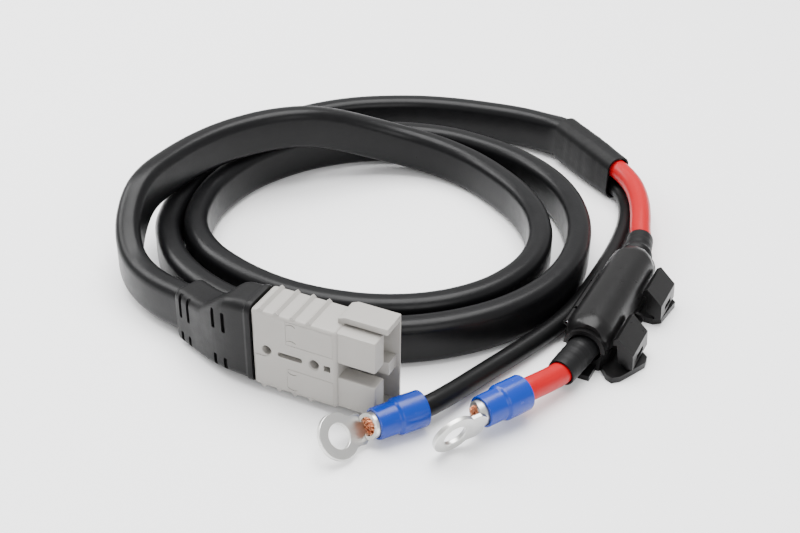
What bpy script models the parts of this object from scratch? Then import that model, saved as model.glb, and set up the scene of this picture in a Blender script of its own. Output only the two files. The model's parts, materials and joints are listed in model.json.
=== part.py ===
"""Battery and solar lead with a two-pole genderless power connector.

The connector stands on one narrow edge at the origin, mating face towards +X and +Z up. Its flat twin
cable lies in two and a half loose turns behind it, breaks out into a red and a black core, and ends in
two ring terminals, the red core by way of an in-line fuse holder. Metres throughout.
"""
import math

import bmesh
import bpy
from mathutils import Matrix, Vector

MM = 0.001
GAP = 0.3 * MM                      # clearance between neighbouring pieces

# Connector housing: X from rear to mating face, Y across its thickness, Z across its width
HOUSING_LENGTH = 47.6 * MM
HOUSING_THICKNESS = 15.9 * MM
HOOD_WIDTH = 36.6 * MM
BODY_WIDTH = 31.0 * MM
BODY_LENGTH = 32.0 * MM
POLE_PITCH = 17.8 * MM
BOSS_HEIGHT = 12.2 * MM
BOSS_THICKNESS = 6.6 * MM
BOSS_INSET = 1.0 * MM
BOSS_TIP = 45.5 * MM
HOOD_REAR = 29.5 * MM
HOOD_WALL = 2.2 * MM
HOOD_BACK_WALL = 1.3 * MM
HOOD_NEAR_EDGE = 5.6 * MM
DIVIDER_HEIGHT = 4.9 * MM
DIVIDER_FRONT = 46.4 * MM
RIB_POSITIONS = [2.6 * MM, 8.6 * MM, 14.6 * MM, 20.6 * MM]
RIB_LENGTH = 1.9 * MM
RIB_HEIGHT = 0.9 * MM
EDGE_RADIUS = 1.4 * MM

REAR = -HOUSING_LENGTH / 2          # X of the housing's rear face
NEAR = -HOUSING_THICKNESS / 2       # Y of its near broad face
MIDDLE = HOOD_WIDTH / 2             # Z of its centre line
POLES = {"upper": MIDDLE + POLE_PITCH / 2, "lower": MIDDLE - POLE_PITCH / 2}

# Contacts and their leaf springs, measured from the housing's rear and near faces
BARREL_RADIUS = 4.3 * MM
BARREL_BORE = 3.3 * MM
BARREL_START, BARREL_END = 1.0 * MM, 15.0 * MM
BARREL_AXIS_Y = 7.0 * MM
BLADE_WIDTH = 9.6 * MM
BLADE_THICKNESS = 1.6 * MM
BLADE_UNDERSIDE = 6.2 * MM
BLADE_TIP = 44.2 * MM
STRAND_RADIUS = 2.95 * MM
SPRING_WIDTH = 6.4 * MM
SPRING_ANCHOR_X = 20.0 * MM

# Twin cable and single cores
CABLE_WIDTH = 17.5 * MM
CABLE_THICKNESS = 9.5 * MM
CABLE_CORNER = 3.8 * MM
CABLE_STEP = 19.0 * MM
CORE_RADIUS = 3.65 * MM
RED_RADIUS = 4.1 * MM
SHRINK_RADIUS = 5.3 * MM
CORE_PITCH = 7.8 * MM

# Loose turns of the cable. Each stop is the bearing round the coil's centre in degrees, the radius to
# the cable's middle and the height of its lower edge, both in millimetres. The first turn climbs over
# the other two at the back left.
COIL_CENTRE = Vector((-31.8 * MM, 92.05 * MM, 0))
FIRST_TURN = [
    (240, 91.2, 2.2), (231, 93.4, 3.6), (224, 93.0, 7.4), (218, 90.8, 12.2), (212, 87.4, 16.8),
    (206, 83.4, 18.2), (199, 79.0, 18.2), (190, 74.4, 18.2), (178, 69.2, 18.2), (166, 64.4, 18.2),
    (155, 60.5, 18.1), (143, 57.3, 17.2), (130, 57.2, 13.5), (118, 58.4, 9.0), (106, 60.4, 5.0),
    (95, 62.0, 2.4), (84, 62.8, 0.8), (70, 62.5, 0.1), (55, 62.3, 0.1), (40, 64.3, 0.1),
    (25, 67.0, 0.1), (10, 69.3, 0.1), (-5, 70.2, 0.1), (-20, 69.4, 0.1)]
SECOND_TURN = [
    (-33, 67.7, 0.1), (-46, 65.6, 0.1), (-60, 63.4, 0.1), (-74, 61.6, 0.1), (-88, 61.0, 0.1),
    (-102, 61.2, 0.1), (-116, 62.5, 0.1), (-130, 65.0, 0.1), (-145, 66.9, 0.1), (-160, 66.6, 0.1),
    (-175, 66.2, 0.1), (-195, 66.0, 0.1), (-215, 66.6, 0.1), (-230, 67.9, 0.1), (-242, 69.6, 0.1),
    (-254, 71.5, 0.1), (-265, 73.2, 0.1), (-276, 74.8, 0.1), (-290, 76.8, 0.1), (-302, 79.2, 0.1),
    (-314, 81.2, 0.1), (-326, 82.6, 0.1), (-340, 83.4, 0.1), (-355, 83.7, 0.1)]
LAST_TURN = [
    (-370, 83.3, 0.1), (-385, 81.6, 0.1), (-400, 79.4, 0.1), (-415, 77.6, 0.1), (-430, 76.3, 0.1),
    (-445, 75.6, 0.1), (-460, 75.7, 0.1), (-475, 76.6, 0.1), (-490, 77.6, 0.1), (-505, 77.9, 0.1),
    (-515, 77.0, 0.1), (-524, 76.2, 0.1), (-532, 76.1, 0.1), (-542, 77.0, 0.1), (-554, 79.4, 0.1),
    (-565, 82.8, 0.1), (-577, 87.4, 0.1), (-588, 91.6, 0.1), (-600, 95.2, 0.1), (-613, 98.2, 0.2),
    (-623, 100.8, 0.4), (-633, 103.6, 0.7), (-643, 108.2, 0.9), (-650.5, 111.2, 1.1)]

# Strain relief boot: distance behind the housing, middle Y, middle Z, half height, half thickness, turn
BOOT_SECTIONS = [
    (0.3, -0.05, 18.3, 16.0, 8.2, 0), (2.4, -0.05, 18.3, 16.0, 8.2, 0), (2.9, -0.05, 18.3, 15.6, 7.8, 0),
    (7.0, 0.05, 18.2, 15.6, 7.8, 2), (10.5, 0.35, 17.6, 15.2, 7.7, 7), (14.0, 0.9, 16.2, 14.0, 7.5, 12),
    (17.5, 1.8, 14.4, 12.6, 7.2, 16), (21.0, 2.9, 13.0, 11.6, 6.9, 20), (27.0, 5.2, 12.2, 11.2, 6.6, 22),
    (35.5, 8.6, 11.8, 11.1, 6.5, 22)]
BOOT_CORNER = 3.4 * MM
BOOT_CAVITY = [
    (-0.5, 0, 18.3, 14.3, 5.4, 0), (8.0, 0.1, 18.0, 13.9, 5.3, 2), (12.5, 0.5, 14.6, 9.1, 5.1, 10),
    (20.0, 2.4, 12.9, 9.1, 5.1, 18), (26.0, 4.7, 12.2, 9.1, 5.1, 21.5), (31.0, 6.7, 11.8, 9.1, 5.1, 22),
    (37.0, 9.2, 11.4, 9.1, 5.1, 22)]
CABLE_IN_BOOT = [(13.0, 0.55, 14.5), (20.0, 2.4, 12.9), (26.0, 4.7, 12.2), (31.0, 6.7, 11.8), (35.5, 8.6, 11.5)]

# Cable end, breakout sleeve and leads
SLEEVE_START = Vector((15.0, 193.2, 10.7)) * MM
SLEEVE_END = Vector((45.8, 172.2, 9.45)) * MM
SLEEVE_WALL = 0.8 * MM
RED_LEAD = [(41.7, 175.0, 13.55), (48.4, 170.2, 13.4), (55.4, 162.8, 12.9), (61.0, 153.2, 12.0),
            (64.7, 143.4, 11.2), (67.0, 135.6, 10.3)]
BLACK_LEAD = [(41.7, 175.0, 5.0), (47.8, 170.4, 4.9), (53.4, 162.4, 4.2), (57.4, 151.0, 3.8),
              (59.6, 138.0, 3.8), (60.6, 124.0, 3.8), (60.8, 111.0, 3.8), (60.6, 98.0, 3.8),
              (60.0, 85.0, 3.8), (58.0, 72.0, 3.8), (54.6, 59.4, 3.8), (50.6, 47.4, 3.8),
              (46.6, 36.2, 3.9), (43.0, 25.2, 4.4), (40.0, 15.0, 5.2)]

# Fuse holder: its own frame runs from the entry to the exit along X, with the latches towards +Y
HOLDER_PLACE = Vector((72.6, 82.0, 0)) * MM
HOLDER_TURN = math.radians(-90.5)
HOLDER_HALF_LENGTH = 28.0 * MM
HOLDER_HALF_WIDTH = 9.0 * MM
HOLDER_TOP = 19.6 * MM
HOLDER_WALL = 1.6 * MM
LEAD_HEIGHT = 8.5 * MM
HINGE_Y, HINGE_Z = -10.5 * MM, 9.3 * MM
SEAM_SLOPE = 0.05
LATCH_PLACES = {"far": -15.5 * MM, "near": 18.0 * MM}
LATCH_WIDTH = 17.0 * MM
BASE_EARS = [[(-25, 6), (-7.5, 6), (-7.5, 14.4), (-9.4, 17.0), (-22.0, 18.4), (-25, 15.6)],
             [(10.5, 6), (27.0, 6), (31.6, 9.6), (32.6, 12.0), (30.4, 14.4), (19.0, 19.6), (15.4, 19.2), (11.5, 15.0)]]
STUD_PITCH = 26.0 * MM
SHRINK_ENDS = {"entry": (69.2, 129.0, 9.4), "exit": (69.2, 38.4, 6.9)}

# Ring terminals: tip of the barrel, direction towards the ring, roll about it and bend of the tongue
RING_OUTER = 7.8 * MM
RING_HOLE = 4.2 * MM
RING_THICKNESS = 1.7 * MM
RING_REACH = 12.5 * MM
CRIMP_RADIUS = 4.4 * MM
SLEEVE_RADIUS = 6.3 * MM
TERMINALS = {
    "black": {"tip": (24.1, -14.6, 7.1), "heading": 236.5, "pitch": 2.0, "roll": -45.0, "bend": 16.0},
    "red": {"tip": (53.4, 4.2, 8.9), "heading": 243.0, "pitch": 1.0, "roll": 74.0, "bend": 4.0}}

MATERIALS = {
    "housing_grey": ((0.50, 0.49, 0.47), 0.45, 0.0), "boot_black": ((0.030, 0.030, 0.032), 0.55, 0.0),
    "sheath_black": ((0.022, 0.022, 0.024), 0.42, 0.0), "shrink_black": ((0.028, 0.028, 0.030), 0.6, 0.0),
    "core_red": ((0.72, 0.02, 0.03), 0.4, 0.0), "core_black": ((0.02, 0.02, 0.022), 0.42, 0.0),
    "holder_black": ((0.03, 0.03, 0.033), 0.4, 0.0), "terminal_blue": ((0.01, 0.13, 0.55), 0.28, 0.0),
    "tinned_copper": ((0.72, 0.72, 0.70), 0.32, 1.0), "bare_copper": ((0.80, 0.42, 0.25), 0.35, 1.0),
    "silver_plate": ((0.82, 0.81, 0.78), 0.25, 1.0), "spring_steel": ((0.60, 0.60, 0.61), 0.3, 1.0),
    "zinc_steel": ((0.66, 0.66, 0.67), 0.35, 1.0), "fuse_amber": ((0.75, 0.36, 0.06), 0.4, 0.0)}


def clear_scene():
    """Remove whatever the opened file holds."""
    for old in list(bpy.data.objects):
        bpy.data.objects.remove(old, do_unlink=True)


def finish(name):
    """Return the named Principled material, made once."""
    made = bpy.data.materials.get(name)
    if made:
        return made
    colour, roughness, metallic = MATERIALS[name]
    made = bpy.data.materials.new(name)
    made.use_nodes = True
    shader = made.node_tree.nodes["Principled BSDF"]
    shader.inputs["Base Color"].default_value = (*colour, 1)
    shader.inputs["Roughness"].default_value = roughness
    shader.inputs["Metallic"].default_value = metallic
    return made


def place(mesh_name, bm, matrix=None):
    """Turn a bmesh into a linked object with outward faces."""
    bmesh.ops.recalc_face_normals(bm, faces=bm.faces)
    mesh = bpy.data.meshes.new(mesh_name)
    bm.to_mesh(mesh)
    bm.free()
    piece = bpy.data.objects.new(mesh_name, mesh)
    bpy.context.scene.collection.objects.link(piece)
    if matrix is not None:
        piece.data.transform(matrix)
    return piece


def dress(piece, material, smooth=30):
    """Give a piece its material and smooth its round faces."""
    piece.data.materials.clear()
    piece.data.materials.append(finish(material))
    piece.data.shade_smooth()
    piece.data.set_sharp_from_angle(angle=math.radians(smooth))
    return piece


def combine(piece, tools, operation):
    """Apply exact Booleans of one kind and remove their tools."""
    for tool in tools:
        modifier = piece.modifiers.new(operation.lower(), "BOOLEAN")
        modifier.operation = operation
        modifier.solver = "EXACT"
        modifier.object = tool
        bpy.context.view_layer.update()
        evaluated = piece.evaluated_get(bpy.context.evaluated_depsgraph_get())
        result = bpy.data.meshes.new_from_object(evaluated)
        piece.modifiers.clear()
        piece.data = result
        bpy.data.objects.remove(tool, do_unlink=True)
    return piece


def join(piece, *tools):
    return combine(piece, tools, "UNION")


def cut(piece, *tools):
    return combine(piece, tools, "DIFFERENCE")


def block(low, high, radius=0.0, segments=2, name="block"):
    """A box between two corners, with all edges rounded if a radius is given."""
    bm = bmesh.new()
    bmesh.ops.create_cube(bm, size=1)
    low, high = Vector(low), Vector(high)
    for vertex in bm.verts:
        vertex.co = Vector(low[i] + (vertex.co[i] + 0.5) * (high[i] - low[i]) for i in range(3))
    if radius:
        bmesh.ops.bevel(bm, geom=bm.edges[:], offset=radius, segments=segments, affect="EDGES", profile=0.5)
    return place(name, bm)


def extrusion(outline, low, high, axis="Z", name="extrusion"):
    """A prism: the outline's two coordinates are the axes after the given one, in X, Y, Z order."""
    bm = bmesh.new()
    ends = []
    for level in (low, high):
        ring = []
        for a, b in outline:
            point = {"X": (level, a, b), "Y": (a, level, b), "Z": (a, b, level)}[axis]
            ring.append(bm.verts.new(point))
        ends.append(ring)
    bm.faces.new(ends[0][::-1])
    bm.faces.new(ends[1])
    for i in range(len(outline)):
        j = (i + 1) % len(outline)
        bm.faces.new((ends[0][i], ends[0][j], ends[1][j], ends[1][i]))
    return place(name, bm)


def turned(profile, start, direction, sides=20, name="turned"):
    """A solid of revolution: profile pairs are distance along the axis and radius."""
    direction = Vector(direction).normalized()
    across = direction.orthogonal().normalized()
    other = direction.cross(across)
    bm = bmesh.new()
    rings = []
    for along, radius in profile:
        ring = []
        for step in range(sides):
            turn = 2 * math.pi * step / sides
            spoke = across * math.cos(turn) + other * math.sin(turn)
            ring.append(bm.verts.new(Vector(start) + direction * along + spoke * radius))
        rings.append(ring)
    bm.faces.new(rings[0])
    bm.faces.new(rings[-1])
    for a, b in zip(rings, rings[1:]):
        for i in range(sides):
            j = (i + 1) % sides
            bm.faces.new((a[i], a[j], b[j], b[i]))
    return place(name, bm)


def rod(start, end, radius, sides=20, name="rod"):
    """A plain cylinder between two points."""
    start, end = Vector(start), Vector(end)
    return turned([(0, radius), ((end - start).length, radius)], start, end - start, sides, name)


def pipe(start, end, outer, inner, sides=20, name="pipe"):
    """A plain tube between two points."""
    start, end = Vector(start), Vector(end)
    over = (end - start).normalized() * MM
    return cut(rod(start, end, outer, sides, name), rod(start - over, end + over, inner, sides))


def rounded_outline(half_width, half_height, corner, steps=3):
    """Points of a rounded rectangle, counter-clockwise."""
    outline = []
    for quarter, (sx, sy) in enumerate(((1, 1), (-1, 1), (-1, -1), (1, -1))):
        centre = (sx * (half_width - corner), sy * (half_height - corner))
        for step in range(steps + 1):
            turn = math.radians(90 * (quarter + step / steps))
            outline.append((centre[0] + corner * math.cos(turn), centre[1] + corner * math.sin(turn)))
    return outline


def through(points, parameter):
    """Catmull-Rom value at a position between 0 and the number of spans."""
    span = min(int(parameter), len(points) - 2)
    t = parameter - span
    p1, p2 = points[span], points[span + 1]
    p0 = points[span - 1] if span else p1 * 2 - p2
    p3 = points[span + 2] if span + 2 < len(points) else p2 * 2 - p1
    return 0.5 * (2 * p1 + (p2 - p0) * t + (2 * p0 - 5 * p1 + 4 * p2 - p3) * t * t
                  + (3 * p1 - p0 - 3 * p2 + p3) * t ** 3)


def evenly(points, step, first=0, last=None, samples=16):
    """Points read at an even step from the smooth curve through the given ones, between two of them."""
    last = len(points) - 1 if last is None else last
    fine = [through(points, i / samples) for i in range(first * samples, last * samples + 1)]
    travelled = [0.0]
    for a, b in zip(fine, fine[1:]):
        travelled.append(travelled[-1] + (b - a).length)
    count = max(2, round(travelled[-1] / step))
    read, place_in_fine = [], 0
    for k in range(count + 1):
        wanted = travelled[-1] * k / count
        while place_in_fine < len(fine) - 2 and travelled[place_in_fine + 1] < wanted:
            place_in_fine += 1
        a, b = fine[place_in_fine], fine[place_in_fine + 1]
        reach = travelled[place_in_fine + 1] - travelled[place_in_fine]
        read.append(a.lerp(b, (wanted - travelled[place_in_fine]) / reach if reach else 0))
    return read


def routed(points, step, kept_first, kept_last):
    """Even points between the given number of spans left straight at each end."""
    last = len(points) - 1 - kept_last
    return points[:kept_first] + evenly(points, step, kept_first, last) + points[last + 1:]


def coil_point(bearing, radius, lower_edge):
    """Where the cable's middle is at a bearing round the coil."""
    turn = math.radians(bearing)
    middle = lower_edge * MM + CABLE_WIDTH / 2
    return COIL_CENTRE + Vector((math.cos(turn), math.sin(turn), 0)) * radius * MM + Vector((0, 0, middle))


def cable_route():
    """The twin cable's middle line from inside the boot to inside the breakout sleeve."""
    route = [Vector((REAR - back * MM, across * MM, height * MM)) for back, across, height in CABLE_IN_BOOT]
    for turn in (FIRST_TURN, SECOND_TURN, LAST_TURN):
        route += [coil_point(*stop) for stop in turn]
    sleeve_run = SLEEVE_END - SLEEVE_START
    route += [SLEEVE_START - sleeve_run * 0.06, SLEEVE_START + sleeve_run * 0.48]
    return routed(route, CABLE_STEP, len(CABLE_IN_BOOT) - 1, 1)


def cord(name, route, material, radius=0.0, profile=None):
    """A round or profiled cord along route points, as a filled curve object."""
    curve = bpy.data.curves.new(name, "CURVE")
    curve.dimensions = "3D"
    curve.twist_mode = "Z_UP"
    curve.use_fill_caps = True
    curve.render_resolution_u = 0
    if profile:
        curve.bevel_mode = "OBJECT"
        curve.bevel_object = profile
    else:
        curve.bevel_depth = radius
        curve.bevel_resolution = 3
    spline = curve.splines.new("POLY")
    spline.points.add(len(route) - 1)
    for point, at in zip(spline.points, route):
        point.co = (*at, 1)
    curve.materials.append(finish(material))
    piece = bpy.data.objects.new(name, curve)
    bpy.context.scene.collection.objects.link(piece)
    return piece


def cable_profile():
    """Guide curve of the flat twin sheath's section, standing on its narrow edge."""
    curve = bpy.data.curves.new("cable_section", "CURVE")
    curve.dimensions = "2D"
    outline = rounded_outline(CABLE_THICKNESS / 2, CABLE_WIDTH / 2, CABLE_CORNER)[::-1]
    spline = curve.splines.new("POLY")
    spline.points.add(len(outline) - 1)
    for point, (a, b) in zip(spline.points, outline):
        point.co = (a, b, 0, 1)
    spline.use_cyclic_u = True
    guide = bpy.data.objects.new("cable_section", curve)
    bpy.context.scene.collection.objects.link(guide)
    guide.hide_render = True
    guide.display_type = "WIRE"
    return guide


def loft(sections, corner, name="loft"):
    """A closed skin through upright rounded sections behind the housing."""
    bm = bmesh.new()
    rings = []
    for back, across, height, half_height, half_thickness, turn in sections:
        middle = Vector((REAR - back * MM, across * MM, height * MM))
        side = Vector((math.sin(math.radians(turn)), math.cos(math.radians(turn)), 0))
        outline = rounded_outline(half_thickness * MM, half_height * MM, corner)
        rings.append([bm.verts.new(middle + side * a + Vector((0, 0, b))) for a, b in outline])
    bm.faces.new(rings[0])
    bm.faces.new(rings[-1])
    for a, b in zip(rings, rings[1:]):
        for i in range(len(a)):
            j = (i + 1) % len(a)
            bm.faces.new((a[i], a[j], b[j], b[i]))
    return place(name, bm)


def build_housing():
    """One moulding: body, grip ribs, two contact bosses, hood, divider, cavities and web holes."""
    body_low = MIDDLE - BODY_WIDTH / 2
    body_high = MIDDLE + BODY_WIDTH / 2
    far = -NEAR
    housing = block((REAR, NEAR, body_low), (REAR + BODY_LENGTH, far, body_high), EDGE_RADIUS, 3)
    housing.name = "connector_housing"
    for rib in RIB_POSITIONS:
        for edge, out in ((body_low, -1), (body_high, 1)):
            start = REAR + rib
            outline = [(start, edge - out * MM), (start, edge + out * 0.05 * MM),
                       (start + 0.5 * RIB_LENGTH, edge + out * RIB_HEIGHT),
                       (start + RIB_LENGTH, edge + out * 0.05 * MM), (start + RIB_LENGTH, edge - out * MM)]
            join(housing, extrusion(outline, NEAR + 0.5 * MM, far - 0.5 * MM, "Y"))
    hood_front = REAR + HOUSING_LENGTH
    hood_rear = REAR + HOOD_REAR
    slope = 2.6 * MM
    outline = [(hood_rear, 0.4 * slope), (hood_rear + slope, 0), (hood_front, 0), (hood_front, HOOD_WIDTH),
               (hood_rear + slope, HOOD_WIDTH), (hood_rear, HOOD_WIDTH - 0.4 * slope)]
    hood = extrusion(outline, NEAR + HOOD_NEAR_EDGE, far, "Y")
    bevel = hood.modifiers.new("edges", "BEVEL")
    bevel.width = 0.5 * MM
    bevel.segments = 2
    bevel.limit_method = "ANGLE"
    inner_low, inner_high = HOOD_WALL, HOOD_WIDTH - HOOD_WALL
    hollow = block((REAR + BODY_LENGTH, NEAR - MM, inner_low),
                   (hood_front + MM, far - HOOD_BACK_WALL, inner_high))
    bpy.context.view_layer.update()
    hood.data = bpy.data.meshes.new_from_object(hood.evaluated_get(bpy.context.evaluated_depsgraph_get()))
    hood.modifiers.clear()
    cut(hood, hollow)
    join(housing, hood)
    divider = block((REAR + BODY_LENGTH - MM, NEAR + 9.0 * MM, MIDDLE - DIVIDER_HEIGHT / 2),
                    (REAR + DIVIDER_FRONT, far - 0.4 * MM, MIDDLE + DIVIDER_HEIGHT / 2))
    join(housing, divider)
    for pole in POLES.values():
        boss = block((REAR + BODY_LENGTH - 2 * MM, NEAR + BOSS_INSET, pole - BOSS_HEIGHT / 2),
                     (REAR + BOSS_TIP, NEAR + BOSS_INSET + BOSS_THICKNESS, pole + BOSS_HEIGHT / 2), 0.7 * MM)
        join(housing, boss)
    for pole in POLES.values():
        crimp_room = block((REAR - MM, NEAR + 2.3 * MM, pole - 4.8 * MM),
                           (REAR + 16.5 * MM, NEAR + 12.0 * MM, pole + 4.8 * MM))
        blade_room = block((REAR + 16 * MM, NEAR + 3.0 * MM, pole - 5.15 * MM),
                           (REAR + BODY_LENGTH + 0.6 * MM, NEAR + 9.0 * MM, pole + 5.15 * MM))
        channel = block((REAR + BODY_LENGTH, NEAR + 3.0 * MM, pole - 5.15 * MM),
                        (REAR + BLADE_TIP + 0.4 * MM, NEAR + 9.0 * MM, pole + 5.15 * MM))
        cut(housing, crimp_room, blade_room, channel)
    for at, radius in ((5.5, 1.65), (23.5, 1.65)):
        cut(housing, rod((REAR + at * MM, NEAR - MM, MIDDLE), (REAR + at * MM, far + MM, MIDDLE), radius * MM, 16))
    cut(housing, block((REAR + 10.0 * MM, NEAR - MM, MIDDLE - 0.8 * MM),
                       (REAR + 19.0 * MM, far + MM, MIDDLE + 0.8 * MM)))
    cut(housing, block((REAR + 27.4 * MM, NEAR - MM, MIDDLE - 1.0 * MM),
                       (REAR + 29.4 * MM, NEAR + 3.0 * MM, MIDDLE + 1.0 * MM)))
    dress(housing, "housing_grey")


def build_contact(side, pole):
    """Crimp barrel and flat blade of one pole, in one piece."""
    axis_y = NEAR + BARREL_AXIS_Y
    contact = rod((REAR + BARREL_START, axis_y, pole), (REAR + BARREL_END, axis_y, pole), BARREL_RADIUS, 20)
    contact.name = "contact_" + side
    top = BLADE_UNDERSIDE + BLADE_THICKNESS
    half = BLADE_WIDTH / 2
    outline = [(REAR + 13.6 * MM, pole - 3.6 * MM), (REAR + 17.5 * MM, pole - half),
               (REAR + BLADE_TIP - 1.5 * MM, pole - half), (REAR + BLADE_TIP, pole - half + 1.5 * MM),
               (REAR + BLADE_TIP, pole + half - 1.5 * MM), (REAR + BLADE_TIP - 1.5 * MM, pole + half),
               (REAR + 17.5 * MM, pole + half), (REAR + 13.6 * MM, pole + 3.6 * MM)]
    join(contact, extrusion(outline, NEAR + BLADE_UNDERSIDE, NEAR + top, "Y"))
    cut(contact, rod((REAR, axis_y, pole), (REAR + 12.8 * MM, axis_y, pole), BARREL_BORE, 20))
    dress(contact, "silver_plate")


def build_leaf_spring(side, pole):
    """Bowed stainless strip that holds one blade up against its mate."""
    upper = [(20.0, 3.75), (26.0, 3.85), (32.0, 4.75), (36.0, 5.55), (38.5, 5.85), (41.0, 5.5), (43.2, 5.0)]
    thickness = 0.45
    outline = [(REAR + x * MM, NEAR + y * MM) for x, y in upper]
    outline += [(REAR + x * MM, NEAR + (y - thickness) * MM) for x, y in reversed(upper)]
    half = SPRING_WIDTH / 2
    dress(extrusion(outline, pole - half, pole + half, "Z", "contact_spring_" + side), "spring_steel")


def build_core_end(side, pole):
    """Insulated core inside the boot and its bared strands inside the barrel."""
    shift = CORE_PITCH / 2 if side == "upper" else -CORE_PITCH / 2
    start = Vector((REAR - 10.2 * MM, 0.3 * MM, 15.2 * MM + shift))
    axis_y = NEAR + BARREL_AXIS_Y
    end = Vector((REAR - 3.2 * MM, axis_y, pole))
    route = [start, start.lerp(end, 0.3) + Vector((0, 0, (start.z - end.z) * 0.10)),
             start.lerp(end, 0.7) + Vector((0, 0, (end.z - start.z) * 0.10)), end]
    cord("core_end_" + side, evenly(route, 3.6 * MM), "core_red" if side == "upper" else "core_black",
         CORE_RADIUS - 0.15 * MM)
    dress(rod((REAR - 0.6 * MM, axis_y, pole), (REAR + 12.3 * MM, axis_y, pole), STRAND_RADIUS, 16,
              "strands_" + side), "bare_copper")


def build_boot():
    """Moulded strain relief with flex slots on both broad sides."""
    boot = loft(BOOT_SECTIONS, BOOT_CORNER, "strain_relief_boot")
    cut(boot, loft(BOOT_CAVITY, 2.6 * MM))
    slots = [(back, low, high) for back in (28.0, 32.2) for low, high in ((13.0, 24.6), (2.6, 7.0))]
    slots += [(back, low, high) for back in (10.6, 14.6) for low, high in ((19.5, 27.5), (3.8, 8.8))]
    for back, low, high in slots:
        section = min(BOOT_SECTIONS, key=lambda s: abs(s[0] - back))
        drift = (back - section[0]) * math.tan(math.radians(section[5]))
        middle = Vector((REAR - back * MM, (section[1] + drift) * MM, 0))
        for out in (-1, 1):
            inner, outer = out * (section[4] - 1.5) * MM, out * (section[4] + 3) * MM
            slot = block((-0.8 * MM, min(inner, outer), low * MM), (0.8 * MM, max(inner, outer), high * MM))
            slot.data.transform(Matrix.Translation(middle) @ Matrix.Rotation(math.radians(-section[5]), 4, "Z"))
            cut(boot, slot)
    dress(boot, "boot_black")


def build_sleeve():
    """Heat-shrink breakout over the cable's end and the start of both cores."""
    run = SLEEVE_END - SLEEVE_START
    along = run.normalized()
    side = Vector((0, 0, 1)).cross(along).normalized()

    def skin(growth, lead_in, name):
        bm = bmesh.new()
        rings = []
        stations = [(-lead_in, CABLE_THICKNESS / 2 + GAP, CABLE_WIDTH / 2 + GAP),
                    (0.5, CABLE_THICKNESS / 2 + GAP, CABLE_WIDTH / 2 + GAP),
                    (0.68, RED_RADIUS + 0.9 * MM, CABLE_WIDTH / 2 + 0.1 * MM),
                    (1 + lead_in, RED_RADIUS + 0.6 * MM, 8.5 * MM)]
        for station, half_width, half_height in stations:
            middle = SLEEVE_START + run * station
            outline = rounded_outline(half_width + growth, half_height + growth,
                                      min(half_width + growth - 0.2 * MM, CABLE_CORNER + growth))
            rings.append([bm.verts.new(middle + side * a + Vector((0, 0, b))) for a, b in outline])
        bm.faces.new(rings[0])
        bm.faces.new(rings[-1])
        for a, b in zip(rings, rings[1:]):
            for i in range(len(a)):
                j = (i + 1) % len(a)
                bm.faces.new((a[i], a[j], b[j], b[i]))
        return place(name, bm)

    dress(cut(skin(SLEEVE_WALL, 0, "breakout_sleeve"), skin(0, 0.03, "bore")), "shrink_black")


def holder_matrix():
    return Matrix.Translation(HOLDER_PLACE) @ Matrix.Rotation(HOLDER_TURN, 4, "Z")


def settle(piece):
    """Move a piece built in the fuse holder's own frame to its place."""
    piece.data.transform(holder_matrix())
    return piece


def holder_capsule(inset, name):
    """Long rounded body of the fuse holder, smaller by the inset all round."""
    half_length = HOLDER_HALF_LENGTH - inset
    half_width = HOLDER_HALF_WIDTH - inset
    stations = [(-1.0, 0.70), (-0.93, 0.88), (-0.82, 1.0), (0.82, 1.0), (0.93, 0.88), (1.0, 0.70)]
    bm = bmesh.new()
    rings = []
    for station, fullness in stations:
        x = half_length * station
        top = inset * -1 + 9.0 * MM + (HOLDER_TOP - 9.0 * MM) * (0.55 + 0.45 * fullness)
        width = half_width * fullness
        ring = [(-0.80 * width, inset), (-width, 9.0 * MM)]
        for step in range(1, 8):
            turn = math.pi * (1 - step / 8)
            ring.append((width * math.copysign(abs(math.cos(turn)) ** 0.8, math.cos(turn)),
                         9.0 * MM + (top - 9.0 * MM) * math.sin(turn) ** 0.85))
        ring += [(width, 9.0 * MM), (0.9 * width, inset)]
        rings.append([bm.verts.new((x, y, z)) for y, z in ring])
    bm.faces.new(rings[0])
    bm.faces.new(rings[-1])
    for a, b in zip(rings, rings[1:]):
        for i in range(len(a)):
            j = (i + 1) % len(a)
            bm.faces.new((a[i], a[j], b[j], b[i]))
    return place(name, bm)


def seam_wedge(above, clearance):
    """Large solid on one side of the slanted seam between the holder's two shells."""
    left, right = (-30 * MM, HINGE_Z + 19.5 * MM * SEAM_SLOPE), (30 * MM, HINGE_Z - 40.5 * MM * SEAM_SLOPE)
    shift = clearance / 2 if above else -clearance / 2
    level = 60 * MM if above else -60 * MM
    outline = [(left[0], left[1] + shift), (right[0], right[1] + shift), (right[0], level), (left[0], level)]
    return extrusion(outline, -60 * MM, 60 * MM, "X")


def tube_cutter(clearance=0.8 * MM):
    return rod((-45 * MM, 0, LEAD_HEIGHT), (45 * MM, 0, LEAD_HEIGHT), SHRINK_RADIUS + clearance, 20)


def knuckle(start, end):
    return rod((start, HINGE_Y, HINGE_Z), (end, HINGE_Y, HINGE_Z), 1.2 * MM, 14)


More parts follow.
